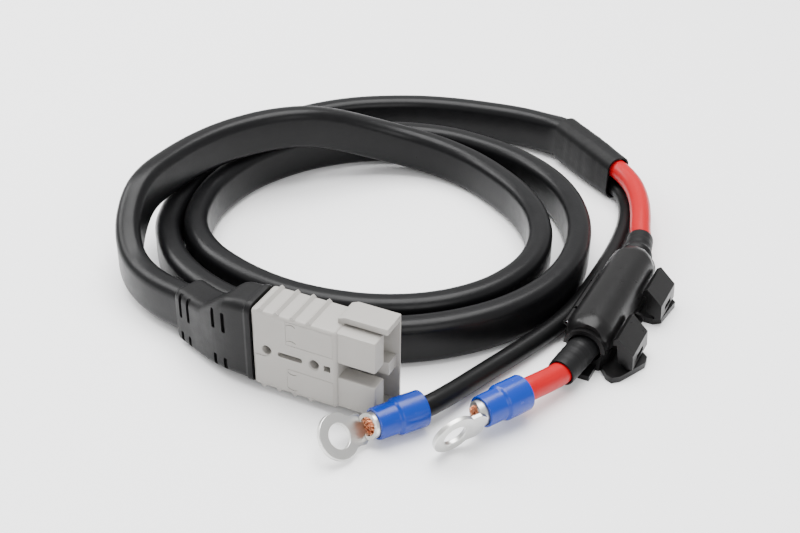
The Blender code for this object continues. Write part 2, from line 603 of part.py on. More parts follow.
def build_holder_shells():
    """Base tray and hinged lid of the fuse holder, with their hinge knuckles."""
    base = cut(holder_capsule(0, "fuse_base"), holder_capsule(HOLDER_WALL, "hollow"), seam_wedge(True, -GAP))
    for outline in BASE_EARS:
        join(base, extrusion([(x * MM, y * MM) for x, y in outline], 0, 2.4 * MM, "Z"))
    for end in (-1, 1):
        inner, outer = end * 25.0 * MM, end * 35.0 * MM
        join(base, block((min(inner, outer), -4.4 * MM, 0), (max(inner, outer), 4.6 * MM, 2.0 * MM)))
    for rib in (-2.6 * MM, 1.6 * MM):
        outline = [(7.5 * MM, 1.0 * MM), (11.4 * MM, 2.6 * MM), (12.2 * MM, 5.4 * MM), (11.0 * MM, 7.0 * MM),
                   (7.5 * MM, 7.4 * MM)]
        join(base, extrusion(outline, rib, rib + 1.5 * MM, "X"))
    for side in (-1, 1):
        stud_seat = rod((side * STUD_PITCH / 2, 0, 0.8 * MM), (side * STUD_PITCH / 2, 0, 3.6 * MM), 4.6 * MM, 16)
        join(base, stud_seat)
        join(base, join(knuckle(side * 10 * MM, side * 18 * MM),
                        block((min(side * 10, side * 18) * MM, HINGE_Y, HINGE_Z - 1.5 * MM),
                              (max(side * 10, side * 18) * MM, HINGE_Y + 2.4 * MM, HINGE_Z - 0.72 * MM))))
    cut(base, rod((-20 * MM, HINGE_Y, HINGE_Z), (20 * MM, HINGE_Y, HINGE_Z), 0.65 * MM, 14))
    cut(base, tube_cutter())
    for side in (-1, 1):
        cut(base, rod((side * STUD_PITCH / 2, 0, 1.6 * MM), (side * STUD_PITCH / 2, 0, 6 * MM), 2.65 * MM, 16))

    lid = holder_capsule(0, "fuse_lid")
    for end in (-1, 1):
        join(lid, rod((end * 24.0 * MM, 0, LEAD_HEIGHT), (end * 29.6 * MM, 0, LEAD_HEIGHT), 7.7 * MM, 22))
    cut(lid, holder_capsule(HOLDER_WALL, "hollow"), tube_cutter(), seam_wedge(False, -GAP))
    join(lid, join(knuckle(-9.4 * MM, 9.4 * MM),
                   block((-9.4 * MM, HINGE_Y, HINGE_Z + 0.72 * MM),
                         (9.4 * MM, HINGE_Y + 2.6 * MM, HINGE_Z + 1.7 * MM))))
    cut(lid, rod((-20 * MM, HINGE_Y, HINGE_Z), (20 * MM, HINGE_Y, HINGE_Z), 0.65 * MM, 14))
    dress(settle(base), "holder_black")
    dress(settle(lid), "holder_black")
    pin = rod((-17.6 * MM, HINGE_Y, HINGE_Z), (17.6 * MM, HINGE_Y, HINGE_Z), 0.4 * MM, 12, "lid_hinge_pin")
    dress(settle(pin), "zinc_steel")


def build_latch(name, at):
    """Latch that hangs from the lid's edge over the base's ear."""
    half = LATCH_WIDTH / 2
    outline = [(9.35 * MM, 13.4 * MM), (10.8 * MM, 14.6 * MM), (16.8 * MM, 9.0 * MM), (17.2 * MM, 3.2 * MM),
               (14.8 * MM, 2.8 * MM), (14.6 * MM, 8.0 * MM), (10.6 * MM, 11.6 * MM), (9.35 * MM, 11.2 * MM)]
    latch = extrusion(outline, at - half, at + half, "X", "fuse_latch_" + name)
    for end in (-1, 1):
        cheek = [(10.6 * MM, 12.2 * MM), (15.6 * MM, 8.4 * MM), (15.6 * MM, 3.4 * MM), (11.8 * MM, 5.0 * MM)]
        edge = at + end * half
        join(latch, extrusion(cheek, min(edge, edge - end * 1.6 * MM), max(edge, edge - end * 1.6 * MM), "X"))
    cut(latch, block((at - 3.4 * MM, 13 * MM, 4.4 * MM), (at + 3.4 * MM, 19 * MM, 6.2 * MM)))
    dress(settle(latch), "holder_black")


def build_fuse():
    """Bolt-down fuse with its studs, nuts, spring washers and lead lugs."""
    body = cut(block((-8 * MM, -5.6 * MM, 4.4 * MM), (8 * MM, 5.6 * MM, 12.2 * MM), 0.8 * MM),
               block((-10 * MM, -4.5 * MM, 5.6 * MM), (10 * MM, 4.5 * MM, 6.9 * MM)))
    body.name = "fuse_body"
    dress(settle(body), "fuse_amber")
    blade = block((-17.6 * MM, -4.2 * MM, 5.9 * MM), (17.6 * MM, 4.2 * MM, 6.6 * MM))
    for side in (-1, 1):
        at = side * STUD_PITCH / 2
        cut(blade, rod((at, 0, 4 * MM), (at, 0, 8 * MM), 2.8 * MM, 16))
    blade.name = "fuse_blade"
    dress(settle(blade), "tinned_copper")
    for side, end in ((-1, "entry"), (1, "exit")):
        at = side * STUD_PITCH / 2
        stud = rod((at, 0, 1.9 * MM), (at, 0, 13.2 * MM), 2.35 * MM, 14, "fuse_stud_" + end)
        dress(settle(stud), "zinc_steel")
        washer = pipe((at, 0, 6.9 * MM), (at, 0, 7.9 * MM), 4.3 * MM, 2.65 * MM, 16, "fuse_washer_" + end)
        dress(settle(washer), "spring_steel")
        hexagon = [(at + 4.62 * MM * math.cos(math.radians(60 * i)), 4.62 * MM * math.sin(math.radians(60 * i)))
                   for i in range(6)]
        nut = cut(extrusion(hexagon, 8.2 * MM, 12.0 * MM, "Z", "fuse_nut_" + end),
                  rod((at, 0, 7 * MM), (at, 0, 13 * MM), 2.65 * MM, 14))
        dress(settle(nut), "zinc_steel")
        lug = rod((at, 0, 3.9 * MM), (at, 0, 5.3 * MM), 4.6 * MM, 18, "lead_lug_" + end)
        tongue = block((min(at, at + side * 7 * MM), -3.2 * MM, 3.9 * MM),
                       (max(at, at + side * 7 * MM), 3.2 * MM, 5.3 * MM))
        height = LEAD_HEIGHT - 0.3 * MM
        barrel = rod((at + side * 5.8 * MM, 0, height), (at + side * 11.4 * MM, 0, height), 4.1 * MM, 18)
        join(lug, tongue, barrel)
        cut(lug, rod((at + side * 7.6 * MM, 0, height), (at + side * 13 * MM, 0, height), 3.1 * MM, 18),
            rod((at, 0, 2 * MM), (at, 0, 7 * MM), 2.65 * MM, 16))
        dress(settle(lug), "tinned_copper")


def holder_point(x, y=0.0, z=LEAD_HEIGHT):
    return holder_matrix() @ Vector((x, y, z))


def build_holder_shrinks():
    """Heat-shrink tubes over both leads where they enter the fuse holder."""
    for side, end in ((-1, "entry"), (1, "exit")):
        start, finish_at = holder_point(side * 26.2 * MM), Vector(SHRINK_ENDS[end]) * MM
        piece = pipe(start, finish_at, SHRINK_RADIUS, RED_RADIUS + 0.45 * MM, 18, "holder_shrink_" + end)
        dress(piece, "shrink_black")


def terminal_matrix(place_of):
    """Frame of a ring terminal: X along the barrel towards the ring, Z out of the tongue's open side."""
    turn = Matrix.Rotation(math.radians(place_of["heading"]), 4, "Z")
    tilt = Matrix.Rotation(math.radians(-place_of["pitch"]), 4, "Y")
    roll = Matrix.Rotation(math.radians(place_of["roll"]), 4, "X")
    return Matrix.Translation(Vector(place_of["tip"]) * MM) @ turn @ tilt @ roll


def build_terminal(colour, place_of):
    """Tinned ring with crimp barrel, blue insulating sleeve and the strands that show at its mouth."""
    matrix = terminal_matrix(place_of)
    bend = Matrix.Rotation(math.radians(-place_of["bend"]), 4, "Y")
    underside = -CRIMP_RADIUS
    root = Vector((1.6 * MM, 0, underside))
    half = 5.4 * MM
    outline = [(-1.0 * MM, -3.4 * MM)]
    start_angle = math.asin(half / RING_OUTER)
    steps = 16
    outline.append((1.5 * MM, -half))
    for step in range(steps + 1):
        turn = math.pi + start_angle + (2 * math.pi - 2 * start_angle) * step / steps
        outline.append((RING_REACH - 1.6 * MM + RING_OUTER * math.cos(turn), RING_OUTER * math.sin(turn)))
    outline += [(1.5 * MM, half), (-1.0 * MM, 3.4 * MM)]
    tongue = extrusion(outline, 0, RING_THICKNESS, "Z")
    cut(tongue, rod((RING_REACH - 1.6 * MM, 0, -2 * MM), (RING_REACH - 1.6 * MM, 0, 4 * MM), RING_HOLE, 24))
    tongue.data.transform(Matrix.Translation(root) @ bend)
    ring = rod((-11.0 * MM, 0, 0), (2.0 * MM, 0, 0), CRIMP_RADIUS, 20)
    ring.name = "ring_terminal_" + colour
    slope = [(-0.4 * MM, 6 * MM), (3 * MM, 6 * MM), (3 * MM, underside + 2.2 * MM), (2.2 * MM, underside + 1.9 * MM)]
    cut(ring, extrusion(slope, -8 * MM, 8 * MM, "Y"))
    cut(ring, rod((-16 * MM, 0, 0), (6 * MM, 0, 0), CRIMP_RADIUS - 1.2 * MM, 20))
    join(ring, tongue)
    ring.data.transform(matrix)
    dress(ring, "tinned_copper")
    outer = [(-1.0, CRIMP_RADIUS + 1.0 * MM), (-8.2, CRIMP_RADIUS + 1.1 * MM), (-9.2, SLEEVE_RADIUS),
             (-19.0, SLEEVE_RADIUS)]
    sleeve = turned([(along * MM, radius) for along, radius in outer], (0, 0, 0), (1, 0, 0), 24)
    inner = SLEEVE_RADIUS - 0.95 * MM
    bore = turned([(1 * MM, CRIMP_RADIUS + GAP), (-11.4 * MM, CRIMP_RADIUS + GAP), (-12.2 * MM, inner),
                   (-21 * MM, inner)], (0, 0, 0), (1, 0, 0), 24)
    cut(sleeve, bore)
    sleeve.name = "terminal_sleeve_" + colour
    sleeve.data.transform(matrix)
    dress(sleeve, "terminal_blue")
    strands = rod((-10.9 * MM, 0, 0), (0.2 * MM, 0, 0), CRIMP_RADIUS - 1.5 * MM, 16, "terminal_strands_" + colour)
    strands.data.transform(matrix)
    dress(strands, "bare_copper")


def build_leads():
    """Red and black cores from the breakout, and the short red tail after the fuse."""
    entry, exit = (Vector(SHRINK_ENDS[end]) * MM for end in ("entry", "exit"))
    inside = holder_point(-25.5 * MM)
    red = [Vector(p) * MM for p in RED_LEAD] + [entry.lerp(inside, t) for t in (0.0, 0.5, 1.0)]
    cord("red_lead", routed(red, 12 * MM, 1, 2), "core_red", RED_RADIUS)
    black_end = terminal_matrix(TERMINALS["black"])
    black = [Vector(p) * MM for p in BLACK_LEAD]
    black += [black_end @ Vector((-x * MM, 0, 0)) for x in (22.0, 11.9)]
    cord("black_lead", routed(black, 13 * MM, 1, 1), "core_black", CORE_RADIUS)
    red_end = terminal_matrix(TERMINALS["red"])
    tail = [exit.lerp(holder_point(25.5 * MM), t) for t in (1.0, 0.5, 0.0)]
    tail += [red_end @ Vector((-x * MM, 0, 0)) for x in (22.0, 11.9)]
    cord("red_tail", routed(tail, 7 * MM, 2, 1), "core_red", RED_RADIUS)


def build():
    clear_scene()
    build_housing()
    for side, pole in POLES.items():
        build_contact(side, pole)
        build_leaf_spring(side, pole)
        build_core_end(side, pole)
    build_boot()
    cord("twin_cable", cable_route(), "sheath_black", profile=cable_profile())
    build_sleeve()
    build_leads()
    build_holder_shells()
    for name, at in LATCH_PLACES.items():
        build_latch(name, at)
    build_fuse()
    build_holder_shrinks()
    for colour, place_of in TERMINALS.items():
        build_terminal(colour, place_of)


build()
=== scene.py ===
"""Looks of the battery and solar lead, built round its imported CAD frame.

Every piece shown is either modelled here in finer detail or is a finely edged copy of its CAD node, and
rides the same body as the node it stands for.
"""
from __future__ import annotations

import json
import logging
import math
from dataclasses import dataclass, field
from enum import Enum
from typing import Callable, Iterable, Sequence

import bmesh
import bpy
from mathutils import Matrix, Vector

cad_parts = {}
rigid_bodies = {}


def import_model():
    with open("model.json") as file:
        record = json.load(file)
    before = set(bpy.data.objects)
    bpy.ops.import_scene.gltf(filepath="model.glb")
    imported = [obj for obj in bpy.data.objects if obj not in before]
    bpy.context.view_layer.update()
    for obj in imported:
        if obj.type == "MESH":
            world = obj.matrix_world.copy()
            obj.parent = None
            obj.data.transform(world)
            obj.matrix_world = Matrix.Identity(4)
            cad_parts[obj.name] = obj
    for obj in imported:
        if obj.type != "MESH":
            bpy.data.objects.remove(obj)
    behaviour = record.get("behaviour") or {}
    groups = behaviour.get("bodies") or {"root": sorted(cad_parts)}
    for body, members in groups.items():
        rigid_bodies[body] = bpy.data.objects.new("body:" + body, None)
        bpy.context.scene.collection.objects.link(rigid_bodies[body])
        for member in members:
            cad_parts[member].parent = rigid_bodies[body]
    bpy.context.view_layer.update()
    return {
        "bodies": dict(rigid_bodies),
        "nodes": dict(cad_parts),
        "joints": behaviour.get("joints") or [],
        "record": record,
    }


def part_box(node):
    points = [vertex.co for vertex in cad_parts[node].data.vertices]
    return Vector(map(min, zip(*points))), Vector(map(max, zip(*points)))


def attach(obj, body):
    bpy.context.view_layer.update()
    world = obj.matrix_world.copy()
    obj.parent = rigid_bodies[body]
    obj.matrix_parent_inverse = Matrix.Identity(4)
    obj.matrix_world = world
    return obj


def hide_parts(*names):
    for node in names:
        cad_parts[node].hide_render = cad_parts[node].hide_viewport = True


log = logging.getLogger("scene")
MM = 0.001
WELD = 0.00001
FINE_WELD = 0.000002
SHARP_ANGLE = 40.0
ROUND_SHARP_ANGLE = 50.0
Pair = tuple[float, float]
Triple = tuple[float, float, float]


class Body(str, Enum):
    """Rigid bodies of the CAD frame."""

    ROOT = "lead_assembly"
    LID = "lid"
    LATCH_FAR = "latch_far"
    LATCH_NEAR = "latch_near"
    CONTACT_UPPER = "contact_upper"
    CONTACT_LOWER = "contact_lower"
    SPRING_UPPER = "spring_upper"
    SPRING_LOWER = "spring_lower"


class Side(str, Enum):
    """The two poles of the connector."""

    UPPER = "upper"
    LOWER = "lower"


# ---- Finishes ----


@dataclass(frozen=True)
class Finish:
    """What one material looks like.

    Attributes:
        slot: Material slot of the record; not used.
        colour: Linear base colour.
        roughness: Mean roughness.
        metallic: 1 for bare metal.
        coat: Clear gloss over the base.
        grain_scale: Size of the moulded or drawn grain, per metre.
        grain_depth: Height of that grain in metres.
        mottle: How far the colour drifts across the piece, 0 to 1.
        smudge: How far handling marks drift the roughness, 0 to 1.
        tint: Colour the mottling drifts to.
        specular: Strength of the dielectric reflection.
    """

    slot: str
    colour: Triple
    roughness: float
    metallic: float = 0.0
    coat: float = 0.0
    grain_scale: float = 2500.0
    grain_depth: float = 0.00002
    mottle: float = 0.1
    smudge: float = 0.2
    tint: Triple = (0.5, 0.5, 0.5)
    specular: float = 0.5


FINISHES: dict[str, Finish] = {
    "housing_grey": Finish("housing_grey", (0.30, 0.287, 0.268), 0.47, 0, 0.05, 1900, 0.00003, 0.1, 0.22,
                           (0.245, 0.232, 0.215), 0.4),
    "boot_black": Finish("boot_black", (0.0036, 0.0036, 0.004), 0.42, 0, 0, 1500, 0.00003, 0.3, 0.3,
                         (0.006, 0.0058, 0.0058), 0.16),
    "sheath_black": Finish("sheath_black", (0.003, 0.003, 0.0034), 0.33, 0, 0, 1200, 0.00003, 0.3, 0.25,
                           (0.005, 0.005, 0.0055), 0.17),
    "shrink_black": Finish("shrink_black", (0.004, 0.004, 0.0043), 0.47, 0, 0, 900, 0.00005, 0.35, 0.3,
                           (0.007, 0.007, 0.0074), 0.14),
    "core_red": Finish("core_red", (0.37, 0.0004, 0.005), 0.33, 0, 0.02, 900, 0.00002, 0.1, 0.2,
                       (0.30, 0.0003, 0.003), 0.2),
    "core_black": Finish("core_black", (0.003, 0.003, 0.0033), 0.33, 0, 0, 900, 0.00002, 0.3, 0.25,
                         (0.005, 0.005, 0.005), 0.16),
    "holder_black": Finish("holder_black", (0.0036, 0.0034, 0.0036), 0.32, 0, 0.02, 1700, 0.00002, 0.3, 0.3,
                           (0.007, 0.0067, 0.0067), 0.2),
    "terminal_blue": Finish("terminal_blue", (0.0003, 0.028, 0.27), 0.24, 0, 0.08, 700, 0.00003, 0.15, 0.2,
                            (0.0003, 0.018, 0.20), 0.3),
    "tinned_copper": Finish("tinned_copper", (0.66, 0.66, 0.64), 0.33, 1, 0, 1400, 0.00003, 0.2, 0.3,
                            (0.50, 0.49, 0.47)),
    "bare_copper": Finish("bare_copper", (0.83, 0.38, 0.20), 0.34, 1, 0, 2500, 0.00002, 0.4, 0.3,
                          (0.55, 0.19, 0.09)),
    "silver_plate": Finish("silver_plate", (0.84, 0.83, 0.80), 0.22, 1, 0, 1800, 0.00001, 0.12, 0.3,
                           (0.70, 0.68, 0.63)),
    "spring_steel": Finish("spring_steel", (0.58, 0.58, 0.59), 0.28, 1, 0, 1800, 0.00001, 0.1, 0.3,
                           (0.48, 0.47, 0.46)),
    "zinc_steel": Finish("zinc_steel", (0.62, 0.63, 0.65), 0.34, 1, 0, 1500, 0.00002, 0.15, 0.3,
                         (0.50, 0.51, 0.53)),
    "fuse_amber": Finish("fuse_amber", (0.70, 0.27, 0.03), 0.28, 0, 0.3, 900, 0.00001, 0.1, 0.2,
                         (0.58, 0.20, 0.02)),
}


def arithmetic(tree: bpy.types.NodeTree, operation: str, first: bpy.types.NodeSocket,
               second: bpy.types.NodeSocket | float, clamp: bool = False) -> bpy.types.NodeSocket:
    """Output of a maths node fed by a socket and by another socket or a number."""
    node = tree.nodes.new("ShaderNodeMath")
    node.operation = operation
    node.use_clamp = clamp
    tree.links.new(first, node.inputs[0])
    if isinstance(second, float):
        node.inputs[1].default_value = second
    else:
        tree.links.new(second, node.inputs[1])
    return node.outputs[0]


def noise(tree: bpy.types.NodeTree, place: bpy.types.NodeSocket, detail: float, scale: float = 5.0,
          roughness: float = 0.5) -> bpy.types.Node:
    """A noise texture read at the given coordinates."""
    node = tree.nodes.new("ShaderNodeTexNoise")
    node.inputs["Scale"].default_value = scale
    node.inputs["Detail"].default_value = detail
    node.inputs["Roughness"].default_value = roughness
    tree.links.new(place, node.inputs["Vector"])
    return node


def surface_group() -> bpy.types.NodeTree:
    """Shared node group: mottled colour, smudged roughness and fine grain height, from object coordinates.

    Returns:
        The group, made once.
    """
    group = bpy.data.node_groups.get("moulded_surface")
    if group:
        return group
    group = bpy.data.node_groups.new("moulded_surface", "ShaderNodeTree")
    sockets = group.interface
    for name, kind, default in (
            ("Colour", "NodeSocketColor", (0.5, 0.5, 0.5, 1)), ("Tint", "NodeSocketColor", (0.4, 0.4, 0.4, 1)),
            ("Mottle", "NodeSocketFloat", 0.1), ("Roughness", "NodeSocketFloat", 0.4),
            ("Smudge", "NodeSocketFloat", 0.2), ("Grain Scale", "NodeSocketFloat", 1500.0)):
        sockets.new_socket(name, in_out="INPUT", socket_type=kind).default_value = default
    for name, kind in (("Base Color", "NodeSocketColor"), ("Roughness", "NodeSocketFloat"),
                       ("Height", "NodeSocketFloat")):
        sockets.new_socket(name, in_out="OUTPUT", socket_type=kind)
    nodes, links = group.nodes, group.links
    entry, leave = nodes.new("NodeGroupInput"), nodes.new("NodeGroupOutput")
    place = nodes.new("ShaderNodeTexCoord").outputs["Object"]

    clouds = noise(group, place, 5.0, 95.0).outputs["Fac"]
    amount = arithmetic(group, "MULTIPLY", clouds, entry.outputs["Mottle"])
    mix = nodes.new("ShaderNodeMix")
    mix.data_type = "RGBA"
    links.new(arithmetic(group, "MULTIPLY", amount, 2.0, clamp=True), mix.inputs[0])
    links.new(entry.outputs["Colour"], mix.inputs[6])
    links.new(entry.outputs["Tint"], mix.inputs[7])
    links.new(mix.outputs[2], leave.inputs["Base Color"])

    marks = noise(group, place, 6.0, 260.0, 0.65).outputs["Fac"]
    spread = arithmetic(group, "MULTIPLY", arithmetic(group, "SUBTRACT", marks, 0.5), entry.outputs["Smudge"])
    rough = arithmetic(group, "ADD", entry.outputs["Roughness"], spread, clamp=True)
    links.new(rough, leave.inputs["Roughness"])

    grain = noise(group, place, 3.0)
    links.new(entry.outputs["Grain Scale"], grain.inputs["Scale"])
    links.new(grain.outputs["Fac"], leave.inputs["Height"])
    return group


def material(name: str) -> bpy.types.Material:
    """Return the named finish as a material, made once.

    Args:
        name: Key of FINISHES.

    Returns:
        A Principled material fed by the shared surface group.
    """
    made = bpy.data.materials.get("look_" + name)
    if made:
        return made
    finish = FINISHES[name]
    made = bpy.data.materials.new("look_" + name)
    made.use_nodes = True
    nodes, links = made.node_tree.nodes, made.node_tree.links
    shader = nodes["Principled BSDF"]
    surface = nodes.new("ShaderNodeGroup")
    surface.node_tree = surface_group()
    surface.inputs["Colour"].default_value = (*finish.colour, 1)
    surface.inputs["Tint"].default_value = (*finish.tint, 1)
    surface.inputs["Mottle"].default_value = finish.mottle
    surface.inputs["Roughness"].default_value = finish.roughness
    surface.inputs["Smudge"].default_value = finish.smudge
    surface.inputs["Grain Scale"].default_value = finish.grain_scale
    bump = nodes.new("ShaderNodeBump")
    bump.inputs["Strength"].default_value = 1.0
    bump.inputs["Distance"].default_value = finish.grain_depth
    links.new(surface.outputs["Base Color"], shader.inputs["Base Color"])
    links.new(surface.outputs["Roughness"], shader.inputs["Roughness"])
    links.new(surface.outputs["Height"], bump.inputs["Height"])
    links.new(bump.outputs["Normal"], shader.inputs["Normal"])
    shader.inputs["Metallic"].default_value = finish.metallic
    shader.inputs["Coat Weight"].default_value = finish.coat
    shader.inputs["Coat Roughness"].default_value = 0.25
    shader.inputs["Specular IOR Level"].default_value = finish.specular
    return made


# ---- Shapes ----


def link(name: str, bm: bmesh.types.BMesh) -> bpy.types.Object:
    """Make a linked object from a bmesh, faces outwards."""
    bmesh.ops.recalc_face_normals(bm, faces=bm.faces)
    mesh = bpy.data.meshes.new(name)
    bm.to_mesh(mesh)
    bm.free()
    piece = bpy.data.objects.new(name, mesh)
    bpy.context.scene.collection.objects.link(piece)
    return piece


def block(low: Sequence[float], high: Sequence[float], radius: float = 0.0, segments: int = 3,
          name: str = "block") -> bpy.types.Object:
    """A box between two corners, all edges rounded if a radius is given."""
    bm = bmesh.new()
    bmesh.ops.create_cube(bm, size=1)
    low, high = Vector(low), Vector(high)
    for vertex in bm.verts:
        vertex.co = Vector(low[i] + (vertex.co[i] + 0.5) * (high[i] - low[i]) for i in range(3))
    if radius:
        bmesh.ops.bevel(bm, geom=bm.edges[:], offset=radius, segments=segments, affect="EDGES", profile=0.5)
    return link(name, bm)


def extrusion(outline: Iterable[Pair], low: float, high: float, axis: str = "Z",
              name: str = "extrusion") -> bpy.types.Object:
    """A prism whose outline coordinates are the two axes other than the given one."""
    place: dict[str, Callable[[float, float, float], Triple]] = {
        "X": lambda level, a, b: (level, a, b), "Y": lambda level, a, b: (a, level, b),
        "Z": lambda level, a, b: (a, b, level)}
    bm = bmesh.new()
    outline = list(outline)
    ends = [[bm.verts.new(place[axis](level, a, b)) for a, b in outline] for level in (low, high)]
    bm.faces.new(ends[0][::-1])
    bm.faces.new(ends[1])
    for i in range(len(outline)):
        j = (i + 1) % len(outline)
        bm.faces.new((ends[0][i], ends[0][j], ends[1][j], ends[1][i]))
    return link(name, bm)


def skin(rings: Sequence[Sequence[Vector]], name: str) -> bpy.types.Object:
    """A closed skin through rings of equal length, capped at both ends."""
    bm = bmesh.new()
    made = [[bm.verts.new(point) for point in ring] for ring in rings]
    bm.faces.new(made[0])
    bm.faces.new(made[-1])
    for a, b in zip(made, made[1:]):
        for i in range(len(a)):
            j = (i + 1) % len(a)
            bm.faces.new((a[i], a[j], b[j], b[i]))
    return link(name, bm)


def turned(profile: Sequence[Pair], start: Sequence[float], direction: Sequence[float], sides: int = 48,
           name: str = "turned") -> bpy.types.Object:
    """A solid of revolution: profile pairs are distance along the axis and radius."""
    direction = Vector(direction).normalized()
    across = direction.orthogonal().normalized()
    other = direction.cross(across)
    rings = []
    for along, radius in profile:
        turns = [2 * math.pi * step / sides for step in range(sides)]
        rings.append([Vector(start) + direction * along + (across * math.cos(t) + other * math.sin(t)) * radius
                      for t in turns])
    return skin(rings, name)


def rod(start: Sequence[float], end: Sequence[float], radius: float, sides: int = 48,
        name: str = "rod") -> bpy.types.Object:
    """A plain cylinder between two points."""
    start, end = Vector(start), Vector(end)
    return turned([(0, radius), ((end - start).length, radius)], start, end - start, sides, name)


def apply(piece: bpy.types.Object) -> bpy.types.Object:
    """Bake a piece's modifiers into its mesh."""
    bpy.context.view_layer.update()
    piece.data = bpy.data.meshes.new_from_object(piece.evaluated_get(bpy.context.evaluated_depsgraph_get()))
    piece.modifiers.clear()
    return piece


def combine(piece: bpy.types.Object, tools: Iterable[bpy.types.Object], operation: str) -> bpy.types.Object:
    """Apply exact Booleans of one kind and remove their tools."""
    for tool in tools:
        modifier = piece.modifiers.new(operation.lower(), "BOOLEAN")
        modifier.operation = operation
        modifier.solver = "EXACT"
        modifier.object = tool
        apply(piece)
        bpy.data.objects.remove(tool, do_unlink=True)
    return piece


def join(piece: bpy.types.Object, *tools: bpy.types.Object) -> bpy.types.Object:
    """Add tools to a piece."""
    return combine(piece, tools, "UNION")


def cut(piece: bpy.types.Object, *tools: bpy.types.Object) -> bpy.types.Object:
    """Take tools out of a piece."""
    return combine(piece, tools, "DIFFERENCE")


def tidy_faces(piece: bpy.types.Object) -> None:
    """Weld a mesh and dissolve the edges inside its flat faces."""
    bm = bmesh.new()
    bm.from_mesh(piece.data)
    bmesh.ops.remove_doubles(bm, verts=bm.verts, dist=WELD)
    bmesh.ops.dissolve_limit(bm, angle_limit=math.radians(0.5), verts=bm.verts, edges=bm.edges)
    bm.to_mesh(piece.data)
    bm.free()


def rounded(piece: bpy.types.Object, width: float, segments: int, angle: float) -> bpy.types.Object:
    """Round the edges sharper than an angle in degrees, and leave no concave or doubled faces."""
    tidy_faces(piece)
    bevel = piece.modifiers.new("rounded edges", "BEVEL")
    bevel.width = width
    bevel.segments = segments
    bevel.limit_method = "ANGLE"
    bevel.angle_limit = math.radians(angle)
    bevel.miter_outer = "MITER_ARC"
    bevel.use_clamp_overlap = True
    apply(piece)
    bm = bmesh.new()
    bm.from_mesh(piece.data)
    bmesh.ops.remove_doubles(bm, verts=bm.verts, dist=FINE_WELD)
    bmesh.ops.triangulate(bm, faces=[face for face in bm.faces if len(face.verts) > 4],
                          quad_method="BEAUTY", ngon_method="BEAUTY")
    bm.to_mesh(piece.data)
    bm.free()
    return piece


def smooth(piece: bpy.types.Object) -> bpy.types.Object:
    """Shade a piece smooth between its sharp edges."""
    piece.data.shade_smooth()
    piece.data.set_sharp_from_angle(angle=math.radians(SHARP_ANGLE))
    weighted = piece.modifiers.new("weighted normals", "WEIGHTED_NORMAL")
    weighted.keep_sharp = True
    return piece


def soften(piece: bpy.types.Object, width: float, segments: int = 3, angle: float = 32) -> bpy.types.Object:
    """Round a piece's edges sharper than an angle in degrees and shade it smooth."""
    return smooth(rounded(piece, width, segments, angle))


def rounded_outline(half_width: float, half_height: float, corner: float, steps: int = 8) -> list[Pair]:
    """Points of a rounded rectangle, counter-clockwise."""
    outline = []
    for quarter, (sx, sy) in enumerate(((1, 1), (-1, 1), (-1, -1), (1, -1))):
        centre = (sx * (half_width - corner), sy * (half_height - corner))
        for step in range(steps + 1):
            turn = math.radians(90 * (quarter + step / steps))
            outline.append((centre[0] + corner * math.cos(turn), centre[1] + corner * math.sin(turn)))
    return outline


def through(points: Sequence[Vector], parameter: float) -> Vector:
    """Catmull-Rom value at a position between 0 and the number of spans."""
    span = min(int(parameter), len(points) - 2)
    t = parameter - span
    p1, p2 = points[span], points[span + 1]
    p0 = points[span - 1] if span else p1 * 2 - p2
    p3 = points[span + 2] if span + 2 < len(points) else p2 * 2 - p1
    return 0.5 * (2 * p1 + (p2 - p0) * t + (2 * p0 - 5 * p1 + 4 * p2 - p3) * t * t
                  + (3 * p1 - p0 - 3 * p2 + p3) * t ** 3)


def evenly(points: Sequence[Vector], step: float, samples: int = 24) -> list[Vector]:
    """Points read at an even step from the smooth curve through the given ones."""
    fine = [through(points, i / samples) for i in range((len(points) - 1) * samples + 1)]
    travelled = [0.0]
    for a, b in zip(fine, fine[1:]):
        travelled.append(travelled[-1] + (b - a).length)
    count = max(2, round(travelled[-1] / step))
    read, at = [], 0
    for k in range(count + 1):
        wanted = travelled[-1] * k / count
        while at < len(fine) - 2 and travelled[at + 1] < wanted:
            at += 1
        reach = travelled[at + 1] - travelled[at]
        read.append(fine[at].lerp(fine[at + 1], (wanted - travelled[at]) / reach if reach else 0))
    return read


def settled(route: Sequence[Vector], passes: int) -> list[Vector]:
    """Even out small wobbles of a route, its ends held."""
    route = [point.copy() for point in route]
    for _ in range(passes):
        held = [point.copy() for point in route]
        for i in range(2, len(route) - 2):
            route[i] = held[i] * 0.5 + (held[i - 1] + held[i + 1]) * 0.25
    return route


# ---- Keeping pieces ----


